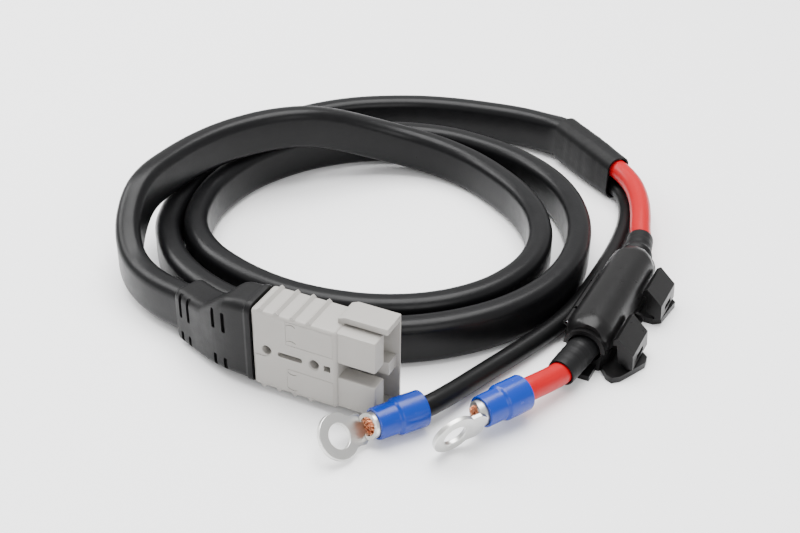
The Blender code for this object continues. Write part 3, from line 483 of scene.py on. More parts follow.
@dataclass
class Workshop:
    """Registers finished pieces with the CAD frame.

    Attributes:
        made: Pieces registered so far.
    """

    frame: dict
    made: list[bpy.types.Object] = field(default_factory=list)

    def keep(self, piece: bpy.types.Object, name: str, finish: str, body: Body = Body.ROOT,
             stands_for: Sequence[str] = ()) -> bpy.types.Object:
        """Name, colour and attach a piece.

        Args:
            piece: The object.
            name: Its name in the scene.
            finish: Key of FINISHES.
            body: The rigid body it rides.
            stands_for: CAD nodes that it hides.

        Returns:
            The same piece.
        """
        piece.name = name
        piece.data.materials.clear()
        piece.data.materials.append(material(finish))
        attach(piece, body.value)
        if stands_for:
            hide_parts(*stands_for)
        self.made.append(piece)
        log.info("%s rides %s in %s", name, body.value, finish)
        return piece

    def copy_of(self, node: str) -> bpy.types.Object:
        """A linked copy of a CAD node's mesh, free to be changed."""
        source = self.frame["nodes"][node]
        piece = bpy.data.objects.new(node + "_copy", source.data.copy())
        bpy.context.scene.collection.objects.link(piece)
        piece.data.materials.clear()
        if piece.data.has_custom_normals:
            piece.data.attributes.remove(piece.data.attributes["custom_normal"])
        tidy_faces(piece)
        return piece

    def refine(self, node: str, finish: str, width: float, body: Body = Body.ROOT,
               segments: int = 3) -> bpy.types.Object:
        """Show a CAD node as a copy with its edges rounded."""
        piece = soften(self.copy_of(node), width, segments)
        return self.keep(piece, node + "_shown", finish, body, [node])


def cad_end(node: str, axis: int, high: bool) -> float:
    """One side of a CAD node's box."""
    low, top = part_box(node)
    return (top if high else low)[axis]


# ---- Connector ----


@dataclass
class Connector:
    """Genderless housing with its contacts and leaf springs; the boot is built on its own.

    Attributes:
        shop: Where finished pieces go.
        thickness: Distance between the broad faces, in millimetres.
        mark_depth: Depth of the strip and crescents, in millimetres.
        groove_depth: Depth of the panel outlines, in millimetres.
        groove_half: Half the width of those outlines, in millimetres.
    """

    shop: Workshop
    thickness: float = 15.9
    mark_depth: float = 0.22
    groove_depth: float = 0.1
    groove_half: float = 0.12

    def __post_init__(self) -> None:
        """Read where the CAD housing stands."""
        self.rear = cad_end("connector_housing", 0, False)
        self.near = cad_end("connector_housing", 1, False)
        self.middle = cad_end("connector_housing", 2, True) / 2

    def at(self, x: float, y: float, z: float) -> Vector:
        """Millimetres from the rear face, from the near face and from the centre line, as a point."""
        return Vector((self.rear + x * MM, self.near + y * MM, self.middle + z * MM))

    def face_cut(self, outline: Iterable[Pair], low: float, high: float) -> bpy.types.Object:
        """Cutter through a broad face: outline in X and height, from one depth to another, in millimetres."""
        return extrusion([(self.rear + x * MM, self.middle + z * MM) for x, z in outline],
                         self.near + low * MM, self.near + high * MM, "Y")

    def marks(self) -> list[bpy.types.Object]:
        """Cutters for the shallow moulding marks on both broad faces."""
        tools, edge = [], self.groove_half
        for face, out in ((0.0, -1), (self.thickness, 1)):
            deep = sorted((face - out * self.mark_depth, face + out * 1.0))
            shallow = sorted((face - out * self.groove_depth, face + out * 1.0))
            strip = [(-1.0, -2.6), (5.2, -2.6), (6.0, -1.7), (6.0, 1.7), (5.2, 2.6), (-1.0, 2.6)]
            tools.append(self.face_cut(strip, *deep))
            for side in (-1, 1):
                for centre in (6.0, 12.5):
                    arc = [(15.2 + 1.8 * math.sin(t), side * centre + side * 1.1 * math.cos(t))
                           for t in (math.radians(-70 + 14 * i) for i in range(11))]
                    outline = arc + [(x, z - side * 0.38) for x, z in reversed(arc)]
                    tools.append(self.face_cut(outline, *deep))
                frame = [(13.3, 5.0), (30.6, 5.0), (30.6, 14.2), (13.3, 14.2)]
                for (x0, z0), (x1, z1) in zip(frame, frame[1:] + frame[:1]):
                    left, right = min(x0, x1) - edge, max(x0, x1) + edge
                    low, high = (side * min(z0, z1) - side * edge, side * max(z0, z1) + side * edge)
                    groove = [(left, low), (right, low), (right, high), (left, high)]
                    tools.append(self.face_cut(groove, *shallow))
        return tools

    def housing(self) -> None:
        """The moulding: CAD solid with countersunk web holes, marks and rounded edges."""
        shell = rounded(self.shop.copy_of("connector_housing"), 0.3 * MM, 3, 40)
        cut(shell, *self.marks())
        lead_in, bore = 2.1 * MM, 1.7 * MM
        through_hole = [(-1.0 * MM, lead_in), (0.05 * MM, lead_in), (0.45 * MM, bore), (15.45 * MM, bore),
                        (15.85 * MM, lead_in), (16.9 * MM, lead_in)]
        for x in (5.5, 23.5):
            cut(shell, turned(through_hole, self.at(x, 0, 0), (0, 1, 0), 32))
        ends = [(x + 0.95 * math.cos(t), 0.95 * math.sin(t)) for x, first in ((18.2, -90), (10.8, 90))
                for t in (math.radians(first + 18 * i) for i in range(11))]
        cut(shell, self.face_cut(ends, -1, 17),
            self.face_cut([(27.2, -1.15), (29.6, -1.15), (29.6, 1.15), (27.2, 1.15)], -1, 17))
        smooth(shell)
        self.shop.keep(shell, "housing_shell", "housing_grey", stands_for=["connector_housing"])

    def contacts(self) -> None:
        """Silver-plated contacts, stainless leaf springs and the conductors crimped in them."""
        for side, contact, spring in ((Side.UPPER, Body.CONTACT_UPPER, Body.SPRING_UPPER),
                                      (Side.LOWER, Body.CONTACT_LOWER, Body.SPRING_LOWER)):
            self.shop.refine("contact_" + side.value, "silver_plate", 0.35 * MM, contact)
            self.shop.refine("contact_spring_" + side.value, "spring_steel", 0.12 * MM, spring, 2)
            low, high = (Vector(v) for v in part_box("strands_" + side.value))
            axis = (low + high) / 2
            bundle = wire_bundle(Vector((low.x, axis.y, axis.z)), Vector((high.x, axis.y, axis.z)),
                                 (high.z - low.z) / 2, 0.36 * MM)
            self.shop.keep(bundle, "conductor_" + side.value, "bare_copper", contact, ["strands_" + side.value])
            colour = "core_red" if side is Side.UPPER else "core_black"
            self.shop.refine("core_end_" + side.value, colour, 0.3 * MM)

    def build(self) -> None:
        """Build the housing and what it holds."""
        self.housing()
        self.contacts()


def wire_bundle(start: Vector, end: Vector, radius: float, wire: float,
                ragged: float = 0.1 * MM) -> bpy.types.Object:
    """Twisted fine wires filling a round bundle, in one mesh.

    Args:
        start: Middle of one end.
        end: Middle of the other.
        radius: Outside radius of the bundle.
        wire: Radius of one wire.
        ragged: How far the free ends differ in length.

    Returns:
        The bundle.
    """
    along = end - start
    length = along.length
    along.normalize()
    across = along.orthogonal().normalized()
    other = along.cross(across)
    bm = bmesh.new()
    seats = [(0.0, 0.0)]
    ring, reach = 1, 2.1 * wire
    while reach * ring <= radius - wire * 0.6:
        count = round(2 * math.pi * ring * reach / (2.15 * wire))
        seats += [(ring * reach, 2 * math.pi * (k + 0.37 * ring) / count) for k in range(count)]
        ring += 1
    for index, (distance, bearing) in enumerate(seats):
        ends = ragged * math.sin(index * 2.4)
        previous = None
        for step in range(7):
            t = step / 6
            turn = bearing + 0.9 * t
            middle = start + along * (length * t + (ends if step == 6 else 0.0))
            middle += (across * math.cos(turn) + other * math.sin(turn)) * distance
            circle = [bm.verts.new(middle + (across * math.cos(a) + other * math.sin(a)) * wire)
                      for a in (2 * math.pi * k / 8 for k in range(8))]
            if previous:
                for k in range(8):
                    bm.faces.new((previous[k], previous[(k + 1) % 8], circle[(k + 1) % 8], circle[k]))
            else:
                bm.faces.new(circle)
            previous = circle
        bm.faces.new(previous)
    piece = link("bundle", bm)
    piece.data.shade_smooth()
    piece.data.set_sharp_from_angle(angle=math.radians(ROUND_SHARP_ANGLE))
    return piece


@dataclass
class Boot:
    """Moulded strain relief between the housing and the flat cable.

    Sections run back from the housing: distance, middle across, middle height, half height, half thickness
    and turn in degrees, lengths in millimetres.
    """

    shop: Workshop
    sections: tuple[tuple[float, ...], ...] = (
        (0.3, -0.05, 18.3, 15.9, 8.1, 0), (0.9, -0.05, 18.3, 16.1, 8.25, 0), (2.2, -0.05, 18.3, 16.1, 8.25, 0),
        (2.8, -0.05, 18.3, 15.7, 7.85, 0), (7.0, 0.05, 18.2, 15.6, 7.8, 2), (10.5, 0.35, 17.6, 15.2, 7.7, 7),
        (14.0, 0.9, 16.2, 14.0, 7.5, 12), (17.5, 1.8, 14.4, 12.6, 7.2, 16), (21.0, 2.9, 13.0, 11.6, 6.9, 20),
        (27.0, 5.2, 12.2, 11.2, 6.6, 22), (34.6, 8.25, 11.85, 11.1, 6.5, 22), (35.2, 8.5, 11.8, 10.9, 6.3, 22),
        (35.5, 8.6, 11.8, 10.6, 6.0, 22))
    cavity: tuple[tuple[float, ...], ...] = (
        (-0.5, 0, 18.3, 14.3, 5.4, 0), (8.0, 0.1, 18.0, 13.9, 5.3, 2), (12.5, 0.5, 14.6, 9.1, 5.1, 10),
        (20.0, 2.4, 12.9, 9.1, 5.1, 18), (26.0, 4.7, 12.2, 9.1, 5.1, 21.5), (31.0, 6.7, 11.8, 9.1, 5.1, 22),
        (37.0, 9.2, 11.4, 9.1, 5.1, 22))

    def __post_init__(self) -> None:
        """Read where the housing's rear face stands."""
        self.rear = cad_end("connector_housing", 0, False)

    def section_at(self, back: float, table: Sequence[Sequence[float]]) -> list[float]:
        """Section values read between the listed ones on a smooth curve that never overshoots."""
        back = min(max(back, table[0][0]), table[-1][0])
        place = next(i for i in range(len(table) - 1) if back <= table[i + 1][0])

        def slope(index: int, column: int) -> float:
            """Slope at a listed section, flat at a turning point."""
            if not 0 < index < len(table) - 1:
                return 0.0
            before, here, after = table[index - 1], table[index], table[index + 1]
            first = (here[column] - before[column]) / (here[0] - before[0])
            second = (after[column] - here[column]) / (after[0] - here[0])
            return 2 * first * second / (first + second) if first * second > 0 else 0.0

        a, b = table[place], table[place + 1]
        span = b[0] - a[0]
        t = (back - a[0]) / span
        values = [back]
        for column in range(1, len(a)):
            values.append(a[column] * (1 + 2 * t) * (1 - t) ** 2 + b[column] * t * t * (3 - 2 * t)
                          + span * t * (1 - t) * (slope(place, column) * (1 - t) - slope(place + 1, column) * t))
        return values

    def ring(self, values: Sequence[float], corner: float) -> list[Vector]:
        """Points of one upright rounded section."""
        back, across, height, half_height, half_thickness, turn = values
        middle = Vector((self.rear - back * MM, across * MM, height * MM))
        side = Vector((math.sin(math.radians(turn)), math.cos(math.radians(turn)), 0))
        corner = min(corner, half_thickness * MM - 0.1 * MM)
        return [middle + side * a + Vector((0, 0, b))
                for a, b in rounded_outline(half_thickness * MM, half_height * MM, corner, 7)]

    def stations(self, table: Sequence[Sequence[float]], step: float) -> list[float]:
        """Where to read sections: every listed one and even steps between."""
        found = {row[0] for row in table}
        reach = table[0][0]
        while reach < table[-1][0]:
            found.add(round(reach, 3))
            reach += step
        kept: list[float] = []
        for back in sorted(found):
            if not kept or back - kept[-1] > 0.25:
                kept.append(back)
        return kept

    def flex_slots(self) -> list[bpy.types.Object]:
        """Cutters for the slots that let the boot bend, on both broad sides."""
        rows = [(back, low, high) for back in (28.0, 32.2) for low, high in ((13.0, 24.6), (2.6, 7.0))]
        rows += [(back, low, high) for back in (10.6, 14.6) for low, high in ((19.5, 27.5), (3.8, 8.8))]
        tools = []
        for back, low, high in rows:
            values = self.section_at(back, self.sections)
            for out in (-1, 1):
                inner, outer = sorted((out * (values[4] - 1.5) * MM, out * (values[4] + 3) * MM))
                slot = block((-0.8 * MM, inner, low * MM), (0.8 * MM, outer, high * MM), 0.5 * MM)
                slot.data.transform(Matrix.Translation((self.rear - back * MM, values[1] * MM, 0))
                                    @ Matrix.Rotation(math.radians(-values[5]), 4, "Z"))
                tools.append(slot)
        return tools

    def build(self) -> None:
        """Loft, hollow and slot the boot."""
        outside = [self.ring(self.section_at(b, self.sections), 3.4 * MM)
                   for b in self.stations(self.sections, 1.5)]
        inside = [self.ring(self.section_at(b, self.cavity), 2.6 * MM) for b in self.stations(self.cavity, 3.0)]
        boot = cut(skin(outside, "boot"), skin(inside, "hollow"), *self.flex_slots())
        smooth(boot)
        self.shop.keep(boot, "boot_moulding", "boot_black", stands_for=["strain_relief_boot"])


# ---- Cable and leads ----


@dataclass
class Strand:
    """One cord of the lead set.

    Attributes:
        shop: Where finished pieces go.
        name: Name of the cord.
        node: CAD node that it stands for.
        finish: Key of FINISHES.
        route: Points it follows.
        half_width: Half its width, or its radius.
        half_thickness: Half its thickness for a flat cable, standing on edge.
        corner: Corner radius of a flat cable.
    """

    shop: Workshop
    name: str
    node: str
    finish: str
    route: list[Vector]
    half_width: float
    half_thickness: float = 0.0
    corner: float = 0.0

    def sweep(self, step: float) -> tuple[bpy.types.Object, list[Vector]]:
        """Sweep the cord along its route.

        Args:
            step: Distance between route points.

        Returns:
            The cord and the points that it follows.
        """
        line = settled(evenly(self.route, step), 2)
        rings = []
        for index, point in enumerate(line):
            ahead = line[min(index + 1, len(line) - 1)] - line[max(index - 1, 0)]
            ahead.normalize()
            across = ahead.cross(Vector((0, 0, 1))).normalized()
            up = across.cross(ahead).normalized()
            if self.half_thickness:
                outline = rounded_outline(self.half_thickness, self.half_width, self.corner, 6)
            else:
                outline = [(self.half_width * math.cos(t), self.half_width * math.sin(t))
                           for t in (2 * math.pi * k / 32 for k in range(32))]
            rings.append([point + across * a + up * b for a, b in outline])
        cord = skin(rings, self.name)
        cord.data.shade_smooth()
        cord.data.set_sharp_from_angle(angle=math.radians(ROUND_SHARP_ANGLE))
        return self.shop.keep(cord, self.name, self.finish, stands_for=[self.node]), line

    def declare(self, step: float) -> bpy.types.Object:
        """Args:
            step: Distance between route points.

        Returns:
            The cord.
        """
        cord, line = self.sweep(step)
        return cord


@dataclass
class CoilRoute:
    """Route of the twin cable.

    Each stop is the bearing round the coil's centre in degrees, the radius to the cable's middle and the
    height of its lower edge, both in millimetres.
    """

    centre: Vector = field(default_factory=lambda: Vector((-31.8 * MM, 92.05 * MM, 0)))
    half_width: float = 8.75 * MM
    in_boot: tuple[Triple, ...] = ((13.0, 0.55, 14.5), (20.0, 2.4, 12.9), (26.0, 4.7, 12.2), (31.0, 6.7, 11.8),
                                   (35.5, 8.6, 11.5))
    first_turn: tuple[Triple, ...] = (
        (240, 91.2, 2.2), (231, 93.4, 3.6), (224, 93.0, 7.4), (218, 90.8, 12.2), (212, 87.4, 16.8),
        (206, 83.4, 18.2), (199, 79.0, 18.2), (190, 74.4, 18.2), (178, 69.2, 18.2), (166, 64.4, 18.2),
        (155, 60.5, 18.1), (143, 57.3, 17.2), (130, 57.2, 13.5), (118, 58.4, 9.0), (106, 60.4, 5.0),
        (95, 62.0, 2.4), (84, 62.8, 0.8), (70, 62.5, 0.1), (55, 62.3, 0.1), (40, 64.3, 0.1),
        (25, 67.0, 0.1), (10, 69.3, 0.1), (-5, 70.2, 0.1), (-20, 69.4, 0.1))
    second_turn: tuple[Triple, ...] = (
        (-33, 67.7, 0.1), (-46, 65.6, 0.1), (-60, 63.4, 0.1), (-74, 61.6, 0.1), (-88, 61.0, 0.1),
        (-102, 61.2, 0.1), (-116, 62.5, 0.1), (-130, 65.0, 0.1), (-145, 66.9, 0.1), (-160, 66.6, 0.1),
        (-175, 66.2, 0.1), (-195, 66.0, 0.1), (-215, 66.6, 0.1), (-230, 67.9, 0.1), (-242, 69.6, 0.1),
        (-254, 71.5, 0.1), (-265, 73.2, 0.1), (-276, 74.8, 0.1), (-290, 76.8, 0.1), (-302, 79.2, 0.1),
        (-314, 81.2, 0.1), (-326, 82.6, 0.1), (-340, 83.4, 0.1), (-355, 83.7, 0.1))
    last_turn: tuple[Triple, ...] = (
        (-370, 83.3, 0.1), (-385, 81.6, 0.1), (-400, 79.4, 0.1), (-415, 77.6, 0.1), (-430, 76.3, 0.1),
        (-445, 75.6, 0.1), (-460, 75.7, 0.1), (-475, 76.6, 0.1), (-490, 77.6, 0.1), (-505, 77.9, 0.1),
        (-515, 77.0, 0.1), (-524, 76.2, 0.1), (-532, 76.1, 0.1), (-542, 77.0, 0.1), (-554, 79.4, 0.1),
        (-565, 82.8, 0.1), (-577, 87.4, 0.1), (-588, 91.6, 0.1), (-600, 95.2, 0.1), (-613, 98.2, 0.2),
        (-623, 100.8, 0.4), (-633, 103.6, 0.7), (-643, 108.2, 0.9), (-650.5, 111.2, 1.1))

    def points(self, sleeve_start: Vector, sleeve_end: Vector) -> list[Vector]:
        """The whole route, from inside the boot to inside the breakout sleeve."""
        rear = cad_end("connector_housing", 0, False)
        route = [Vector((rear - back * MM, across * MM, height * MM)) for back, across, height in self.in_boot]
        for turn in (self.first_turn, self.second_turn, self.last_turn):
            for bearing, radius, lower_edge in turn:
                angle = math.radians(bearing)
                route.append(self.centre + Vector((math.cos(angle), math.sin(angle), 0)) * radius * MM
                             + Vector((0, 0, lower_edge * MM + self.half_width)))
        run = sleeve_end - sleeve_start
        return route + [sleeve_start - run * 0.06, sleeve_start + run * 0.2, sleeve_start + run * 0.48]


@dataclass
class Breakout:
    """Heat-shrink over the cable's end, drawn in round the two cores."""

    shop: Workshop
    start: Vector = field(default_factory=lambda: Vector((15.0, 193.2, 10.7)) * MM)
    end: Vector = field(default_factory=lambda: Vector((45.8, 172.2, 9.45)) * MM)
    wall: float = 0.8 * MM

    def tube(self, growth: float, lead_in: float, waves: float) -> bpy.types.Object:
        """One skin of the sleeve, grown outwards, with slight shrink ripples."""
        run = self.end - self.start
        side = Vector((0, 0, 1)).cross(run.normalized()).normalized()
        keys = [(-lead_in, 5.05, 9.05), (0.40, 5.05, 9.05), (0.52, 5.05, 9.05), (0.68, 5.0, 8.85),
                (0.85, 4.75, 8.6), (1 + lead_in, 4.7, 8.5)]
        rings = []
        for step in range(49):
            t = -lead_in + (1 + 2 * lead_in) * step / 48
            for a, b in zip(keys, keys[1:]):
                if a[0] <= t <= b[0]:
                    u = (t - a[0]) / (b[0] - a[0])
                    width, height = (p + (q - p) * u for p, q in zip(a[1:], b[1:]))
                    break
            ripple = waves * (math.sin(t * 31) * 0.5 + math.sin(t * 53 + 1) * 0.3)
            half_width, half_height = width * MM + growth + ripple, height * MM + growth + ripple * 0.5
            outline = rounded_outline(half_width, half_height, min(half_width - 0.2 * MM, 3.8 * MM + growth))
            middle = self.start + run * t
            rings.append([middle + side * a + Vector((0, 0, b)) for a, b in outline])
        return skin(rings, "breakout")

    def build(self) -> bpy.types.Object:
        """Hollow and keep the sleeve."""
        sleeve = cut(self.tube(self.wall, 0, 0.06 * MM), self.tube(0, 0.03, 0))
        smooth(sleeve)
        return self.shop.keep(sleeve, "breakout_tube", "shrink_black", stands_for=["breakout_sleeve"])


# ---- Fuse holder ----


@dataclass
class FuseHolder:
    """In-line bolt-down fuse holder: shells, latches, fuse and both shrink tubes.

    Its own frame runs from the entry to the exit along X, latches towards +Y.
    """

    shop: Workshop
    turn: float = math.radians(-90.5)
    tube_radius: float = 5.3 * MM
    lead_radius: float = 4.1 * MM
    shrink_ends: dict[str, Triple] = field(
        default_factory=lambda: {"entry": (69.2, 129.0, 9.4), "exit": (69.2, 38.4, 6.9)})

    def __post_init__(self) -> None:
        """Find the holder's own frame from the CAD fuse."""
        low, high = (Vector(v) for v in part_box("fuse_body"))
        middle = (low + high) / 2
        self.matrix = Matrix.Translation((middle.x, middle.y, 0)) @ Matrix.Rotation(self.turn, 4, "Z")

    def point(self, x: float, y: float = 0.0, z: float = 8.5 * MM) -> Vector:
        """A point of the holder's own frame in the part's frame."""
        return self.matrix @ Vector((x, y, z))

    def shells(self) -> None:
        """Base, lid, hinge pin and both latches with rounded edges."""
        self.shop.refine("fuse_base", "holder_black", 0.4 * MM)
        self.shop.refine("fuse_lid", "holder_black", 0.4 * MM, Body.LID)
        self.shop.refine("lid_hinge_pin", "zinc_steel", 0.15 * MM, segments=2)
        self.shop.refine("fuse_latch_far", "holder_black", 0.4 * MM, Body.LATCH_FAR)
        self.shop.refine("fuse_latch_near", "holder_black", 0.4 * MM, Body.LATCH_NEAR)

    def fuse(self) -> None:
        """The fuse and the hardware that bolts it down."""
        self.shop.refine("fuse_body", "fuse_amber", 0.3 * MM)
        self.shop.refine("fuse_blade", "tinned_copper", 0.12 * MM, segments=2)
        for end in ("entry", "exit"):
            self.shop.refine("fuse_stud_" + end, "zinc_steel", 0.4 * MM)
            self.shop.refine("fuse_nut_" + end, "zinc_steel", 0.35 * MM)
            self.shop.refine("fuse_washer_" + end, "spring_steel", 0.15 * MM, segments=2)
            self.shop.refine("lead_lug_" + end, "tinned_copper", 0.25 * MM)

    def shrink(self, end: str) -> bpy.types.Object:
        """Heat-shrink tube at one mouth, drawn down on the lead at its free end."""
        side = -1 if end == "entry" else 1
        start, finish_at = self.point(side * 26.2 * MM), Vector(self.shrink_ends[end]) * MM
        run = finish_at - start
        length, outer, inner = run.length, self.tube_radius, self.lead_radius + 0.45 * MM
        profile = []
        for step in range(33):
            along = length * step / 32
            ripple = 0.05 * MM * math.sin(step * 0.9) + 0.04 * MM * math.sin(step * 2.1)
            taper = 0.25 * MM * max(0.0, (step - 22) / 10) ** 2
            collar = 0.7 * MM * math.exp(-((step - 15) / 2.0) ** 2) if end == "entry" else 0.0
            profile.append((along, outer - 0.1 * MM + ripple - taper + collar))
        profile[0] = (0, outer - 0.35 * MM)
        profile[-1] = (length, inner + 0.18 * MM)
        profile.insert(-1, (length - 0.12 * MM, profile[-2][1] - 0.05 * MM))
        tube = cut(turned(profile, start, run), rod(start - run * 0.05, finish_at + run * 0.05, inner))
        smooth(tube)
        return self.shop.keep(tube, "shrink_tube_" + end, "shrink_black", stands_for=["holder_shrink_" + end])

    def build(self) -> None:
        """Build the shells and the fuse."""
        self.shells()
        self.fuse()


# ---- Ring terminals ----


@dataclass
class RingTerminal:
    """Crimped ring terminal with its blue insulating sleeve.

    Attributes:
        shop: Where finished pieces go.
        colour: Which lead it ends.
        tip: Middle of the barrel's mouth, in millimetres.
        heading: Direction of the barrel in plan, in degrees.
        pitch: Rise of the barrel, in degrees.
        roll: Turn about the barrel, in degrees.
        bend: Lift of the tongue, in degrees.
    """

    shop: Workshop
    colour: str
    tip: Triple
    heading: float
    pitch: float
    roll: float
    bend: float
    ring_outer: float = 7.8 * MM
    ring_hole: float = 4.2 * MM
    thickness: float = 1.7 * MM
    reach: float = 12.5 * MM
    crimp: float = 4.4 * MM
    sleeve_radius: float = 6.3 * MM

    @property
    def matrix(self) -> Matrix:
        """Frame with X along the barrel towards the ring and Z out of the tongue's open side."""
        return (Matrix.Translation(Vector(self.tip) * MM)
                @ Matrix.Rotation(math.radians(self.heading), 4, "Z")
                @ Matrix.Rotation(math.radians(-self.pitch), 4, "Y")
                @ Matrix.Rotation(math.radians(self.roll), 4, "X"))

    def ring(self) -> bpy.types.Object:
        """Barrel cut open over its mouth, flowing into the tongue and ring."""
        half, centre = 5.4 * MM, self.reach - 1.6 * MM
        opening = math.asin(half / self.ring_outer)
        outline = [(-1.0 * MM, -3.4 * MM), (1.5 * MM, -half)]
        for step in range(49):
            turn = math.pi + opening + (2 * math.pi - 2 * opening) * step / 48
            outline.append((centre + self.ring_outer * math.cos(turn), self.ring_outer * math.sin(turn)))
        outline += [(1.5 * MM, half), (-1.0 * MM, 3.4 * MM)]
        tongue = extrusion(outline, 0, self.thickness, "Z")
        cut(tongue, rod((centre, 0, -2 * MM), (centre, 0, 4 * MM), self.ring_hole, 64))
        soften(tongue, 0.28 * MM, 3)
        apply(tongue)
        tongue.data.transform(Matrix.Translation((1.6 * MM, 0, -self.crimp))
                              @ Matrix.Rotation(math.radians(-self.bend), 4, "Y"))
        barrel = rod((-11.0 * MM, 0, 0), (2.0 * MM, 0, 0), self.crimp, 56)
        slope = [(-0.4 * MM, 6 * MM), (3 * MM, 6 * MM), (3 * MM, -self.crimp + 2.2 * MM),
                 (2.2 * MM, -self.crimp + 1.9 * MM)]
        cut(barrel, extrusion(slope, -8 * MM, 8 * MM, "Y"))
        cut(barrel, rod((-16 * MM, 0, 0), (6 * MM, 0, 0), self.crimp - 1.2 * MM, 56))
        join(barrel, tongue)
        barrel.data.transform(self.matrix)
        smooth(barrel)
        return self.shop.keep(barrel, "ring_" + self.colour, "tinned_copper",
                              stands_for=["ring_terminal_" + self.colour])

    def sleeve(self) -> bpy.types.Object:
        """Two-step nylon sleeve with rounded shoulders."""
        narrow, wide = self.crimp + 1.05 * MM, self.sleeve_radius
        outer = [(-1.0 * MM, narrow - 0.45 * MM), (-1.15 * MM, narrow - 0.15 * MM), (-1.5 * MM, narrow)]
        outer += [(-8.0 * MM, narrow + 0.08 * MM)]
        neck, shoulder = narrow + 0.08 * MM, 1.5 * MM
        outer += [(-8.0 * MM - shoulder * t, neck + (wide - neck) * (3 * t * t - 2 * t ** 3))
                  for t in (i / 8 for i in range(1, 9))]
        outer += [(-18.5 * MM, wide), (-18.85 * MM, wide - 0.15 * MM), (-19.0 * MM, wide - 0.45 * MM)]
        sleeve = turned(outer, (0, 0, 0), (1, 0, 0), 72)
        inner = wide - 0.95 * MM
        bore = turned([(1 * MM, self.crimp + 0.3 * MM), (-11.4 * MM, self.crimp + 0.3 * MM), (-12.2 * MM, inner),
                       (-21 * MM, inner)], (0, 0, 0), (1, 0, 0), 72)
        cut(sleeve, bore)
        sleeve.data.transform(self.matrix)
        smooth(sleeve)
        return self.shop.keep(sleeve, "insulation_" + self.colour, "terminal_blue",
                              stands_for=["terminal_sleeve_" + self.colour])

    def strands(self) -> bpy.types.Object:
        """Bare wires that end in the barrel's mouth."""
        bundle = wire_bundle(self.matrix @ Vector((-10.9 * MM, 0, 0)), self.matrix @ Vector((1.0 * MM, 0, 0)),
                             self.crimp - 1.35 * MM, 0.27 * MM, 0.6 * MM)
        return self.shop.keep(bundle, "wires_" + self.colour, "bare_copper",
                              stands_for=["terminal_strands_" + self.colour])

    def build(self) -> list[bpy.types.Object]:
        """Build the ring, its sleeve and the wires."""
        return [self.ring(), self.sleeve(), self.strands()]


# ---- The whole lead and its stage ----


@dataclass
class LeadSet:
    """Cables, leads, breakout, fuse holder and terminals."""

    shop: Workshop
    core_radius: float = 3.65 * MM
    red_radius: float = 4.1 * MM
    red_stops: tuple[Triple, ...] = ((41.7, 175.0, 13.55), (48.4, 170.2, 13.4), (55.4, 162.8, 12.9),
                                     (61.0, 153.2, 12.0), (64.7, 143.4, 11.2), (67.0, 135.6, 10.3))
    black_stops: tuple[Triple, ...] = (
        (41.7, 175.0, 5.0), (47.8, 170.4, 4.9), (53.4, 162.4, 4.2), (57.4, 151.0, 3.8), (59.6, 138.0, 3.8),
        (60.6, 124.0, 3.8), (60.8, 111.0, 3.8), (60.6, 98.0, 3.8), (60.0, 85.0, 3.8), (58.0, 72.0, 3.8),
        (54.6, 59.4, 3.8), (50.6, 47.4, 3.8), (46.6, 36.2, 3.9), (43.0, 25.2, 4.4), (40.0, 15.0, 5.2))

    def build(self) -> None:
        """Build every cord with what hangs on it."""
        breakout = Breakout(self.shop)
        sleeve = breakout.build()
        route = CoilRoute().points(breakout.start, breakout.end)
        Strand(self.shop, "cable_sheath", "twin_cable", "sheath_black", route, 8.75 * MM, 4.75 * MM, 3.8 * MM
               ).declare(2.5 * MM)

        holder = FuseHolder(self.shop)
        holder.build()
        shrink = {end: holder.shrink(end) for end in ("entry", "exit")}
        terminals = {
            "black": RingTerminal(self.shop, "black", (24.1, -14.6, 7.1), 236.5, 2.0, -45.0, 16.0),
            "red": RingTerminal(self.shop, "red", (53.4, 4.2, 8.9), 243.0, 1.0, 74.0, 4.0)}
        hung = {colour: terminal.build() for colour, terminal in terminals.items()}

        black = [Vector(stop) * MM for stop in self.black_stops]
        black += [terminals["black"].matrix @ Vector((-x * MM, 0, 0)) for x in (22.0, 17.0, 11.9)]
        Strand(self.shop, "black_core", "black_lead", "core_black", black, self.core_radius
               ).declare(1.6 * MM)

        into, out_of = (Vector(holder.shrink_ends[end]) * MM for end in ("entry", "exit"))
        red = [Vector(stop) * MM for stop in self.red_stops]
        red += [into.lerp(holder.point(-25.5 * MM), t) for t in (0.0, 0.5, 1.0)]
        tail = [out_of.lerp(holder.point(25.5 * MM), t) for t in (1.0, 0.5, 0.0)]
        tail += [terminals["red"].matrix @ Vector((-x * MM, 0, 0)) for x in (22.0, 17.0, 11.9)]
        tail_core, _ = Strand(self.shop, "red_tail_core", "red_tail", "core_red", tail, self.red_radius
                              ).sweep(1.6 * MM)
        Strand(self.shop, "red_core", "red_lead", "core_red", red, self.red_radius
               ).declare(1.6 * MM)


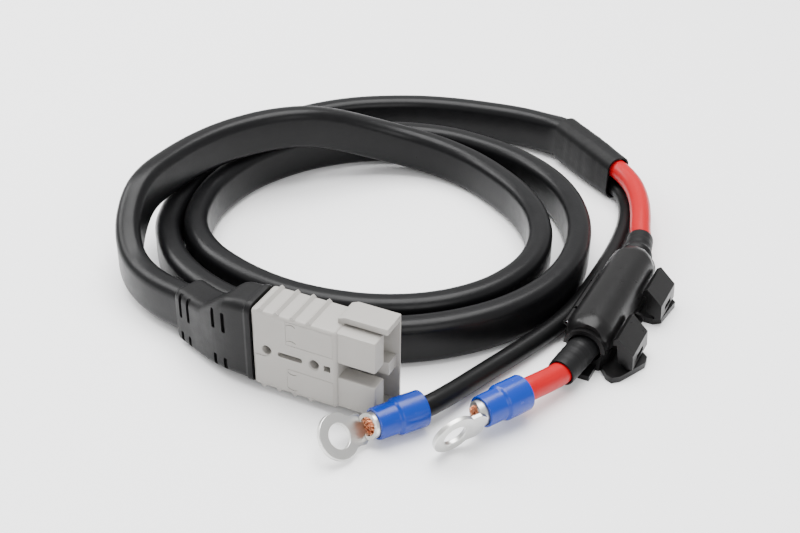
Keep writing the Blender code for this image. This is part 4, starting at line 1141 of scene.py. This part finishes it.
@dataclass
class Studio:
    """Pale seamless floor, soft lights and the camera.

    Attributes:
        eye: Where the camera stands.
        tilt: Its tilt up from straight down, in degrees.
        heading: Its turn about the vertical, in degrees.
        roll: Its roll, in degrees.
        lens: Focal length in millimetres.
        sensor_width: Width of the sensor in millimetres.
        near_clip: Nearest distance shown.
        floor_half: Half the side of the floor.
        floor_colour: Linear colour of the floor.
        floor_roughness: Roughness of the floor.
        sky_strength: Strength of the white sky.
        aim: What every light points at.
        lamps: Name, place, size and power of each light.
    """

    eye: Triple = (0.1692, -0.30015, 0.2789)
    tilt: float = 56.65
    heading: float = 25.4
    roll: float = -0.7
    lens: float = 58.5
    sensor_width: float = 36.0
    near_clip: float = 0.01
    floor_half: float = 6.0
    floor_colour: Triple = (0.93, 0.93, 0.935)
    floor_roughness: float = 0.6
    sky_strength: float = 0.95
    aim: Triple = (0.0, 0.09, 0.0)
    lamps: tuple[tuple[str, Triple, float, float], ...] = (
        ("overhead", (-0.15, 0.35, 1.3), 1.2, 48.0), ("window", (-1.1, 0.1, 0.9), 0.7, 16.0),
        ("fill", (0.9, -0.9, 0.8), 0.9, 10.0))

    def floor(self) -> None:
        """A pale floor under the part."""
        half = self.floor_half
        piece = block((-half, -half, -0.02), (half, half, 0.0), name="floor")
        paint = bpy.data.materials.new("floor_white")
        paint.use_nodes = True
        shader = paint.node_tree.nodes["Principled BSDF"]
        shader.inputs["Base Color"].default_value = (*self.floor_colour, 1)
        shader.inputs["Roughness"].default_value = self.floor_roughness
        piece.data.materials.append(paint)

    def lamp(self, name: str, at: Triple, size: float, power: float) -> None:
        """One square soft light."""
        light = bpy.data.lights.new(name, "AREA")
        light.shape = "SQUARE"
        light.size = size
        light.energy = power
        lamp = bpy.data.objects.new(name, light)
        lamp.location = at
        lamp.rotation_euler = (Vector(self.aim) - Vector(at)).to_track_quat("-Z", "Y").to_euler()
        bpy.context.scene.collection.objects.link(lamp)

    def sky(self) -> None:
        """An even white sky."""
        world = bpy.data.worlds.new("studio")
        bpy.context.scene.world = world
        world.use_nodes = True
        background = world.node_tree.nodes["Background"]
        background.inputs["Color"].default_value = (1.0, 1.0, 1.0, 1)
        background.inputs["Strength"].default_value = self.sky_strength

    def camera(self) -> None:
        """The camera, made the scene's own."""
        data = bpy.data.cameras.new("camera")
        data.lens = self.lens
        data.sensor_width = self.sensor_width
        data.clip_start = self.near_clip
        camera = bpy.data.objects.new("camera", data)
        camera.location = self.eye
        heading = Matrix.Rotation(math.radians(self.heading), 4, "Z")
        turn = heading @ Matrix.Rotation(math.radians(self.tilt), 4, "X")
        camera.rotation_euler = (turn @ Matrix.Rotation(math.radians(-self.roll), 4, "Z")).to_euler()
        bpy.context.scene.collection.objects.link(camera)
        bpy.context.scene.camera = camera

    def build(self) -> None:
        """Set the floor, the lights, the sky and the camera."""
        self.floor()
        for lamp in self.lamps:
            self.lamp(*lamp)
        self.sky()
        self.camera()


def main() -> None:
    """Build the lead round its frame."""
    logging.basicConfig(level=logging.INFO, format="%(name)s %(message)s")
    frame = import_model()
    shop = Workshop(frame)
    Connector(shop).build()
    Boot(shop).build()
    LeadSet(shop).build()
    Studio().build()


if __name__ == "__main__":
    main()
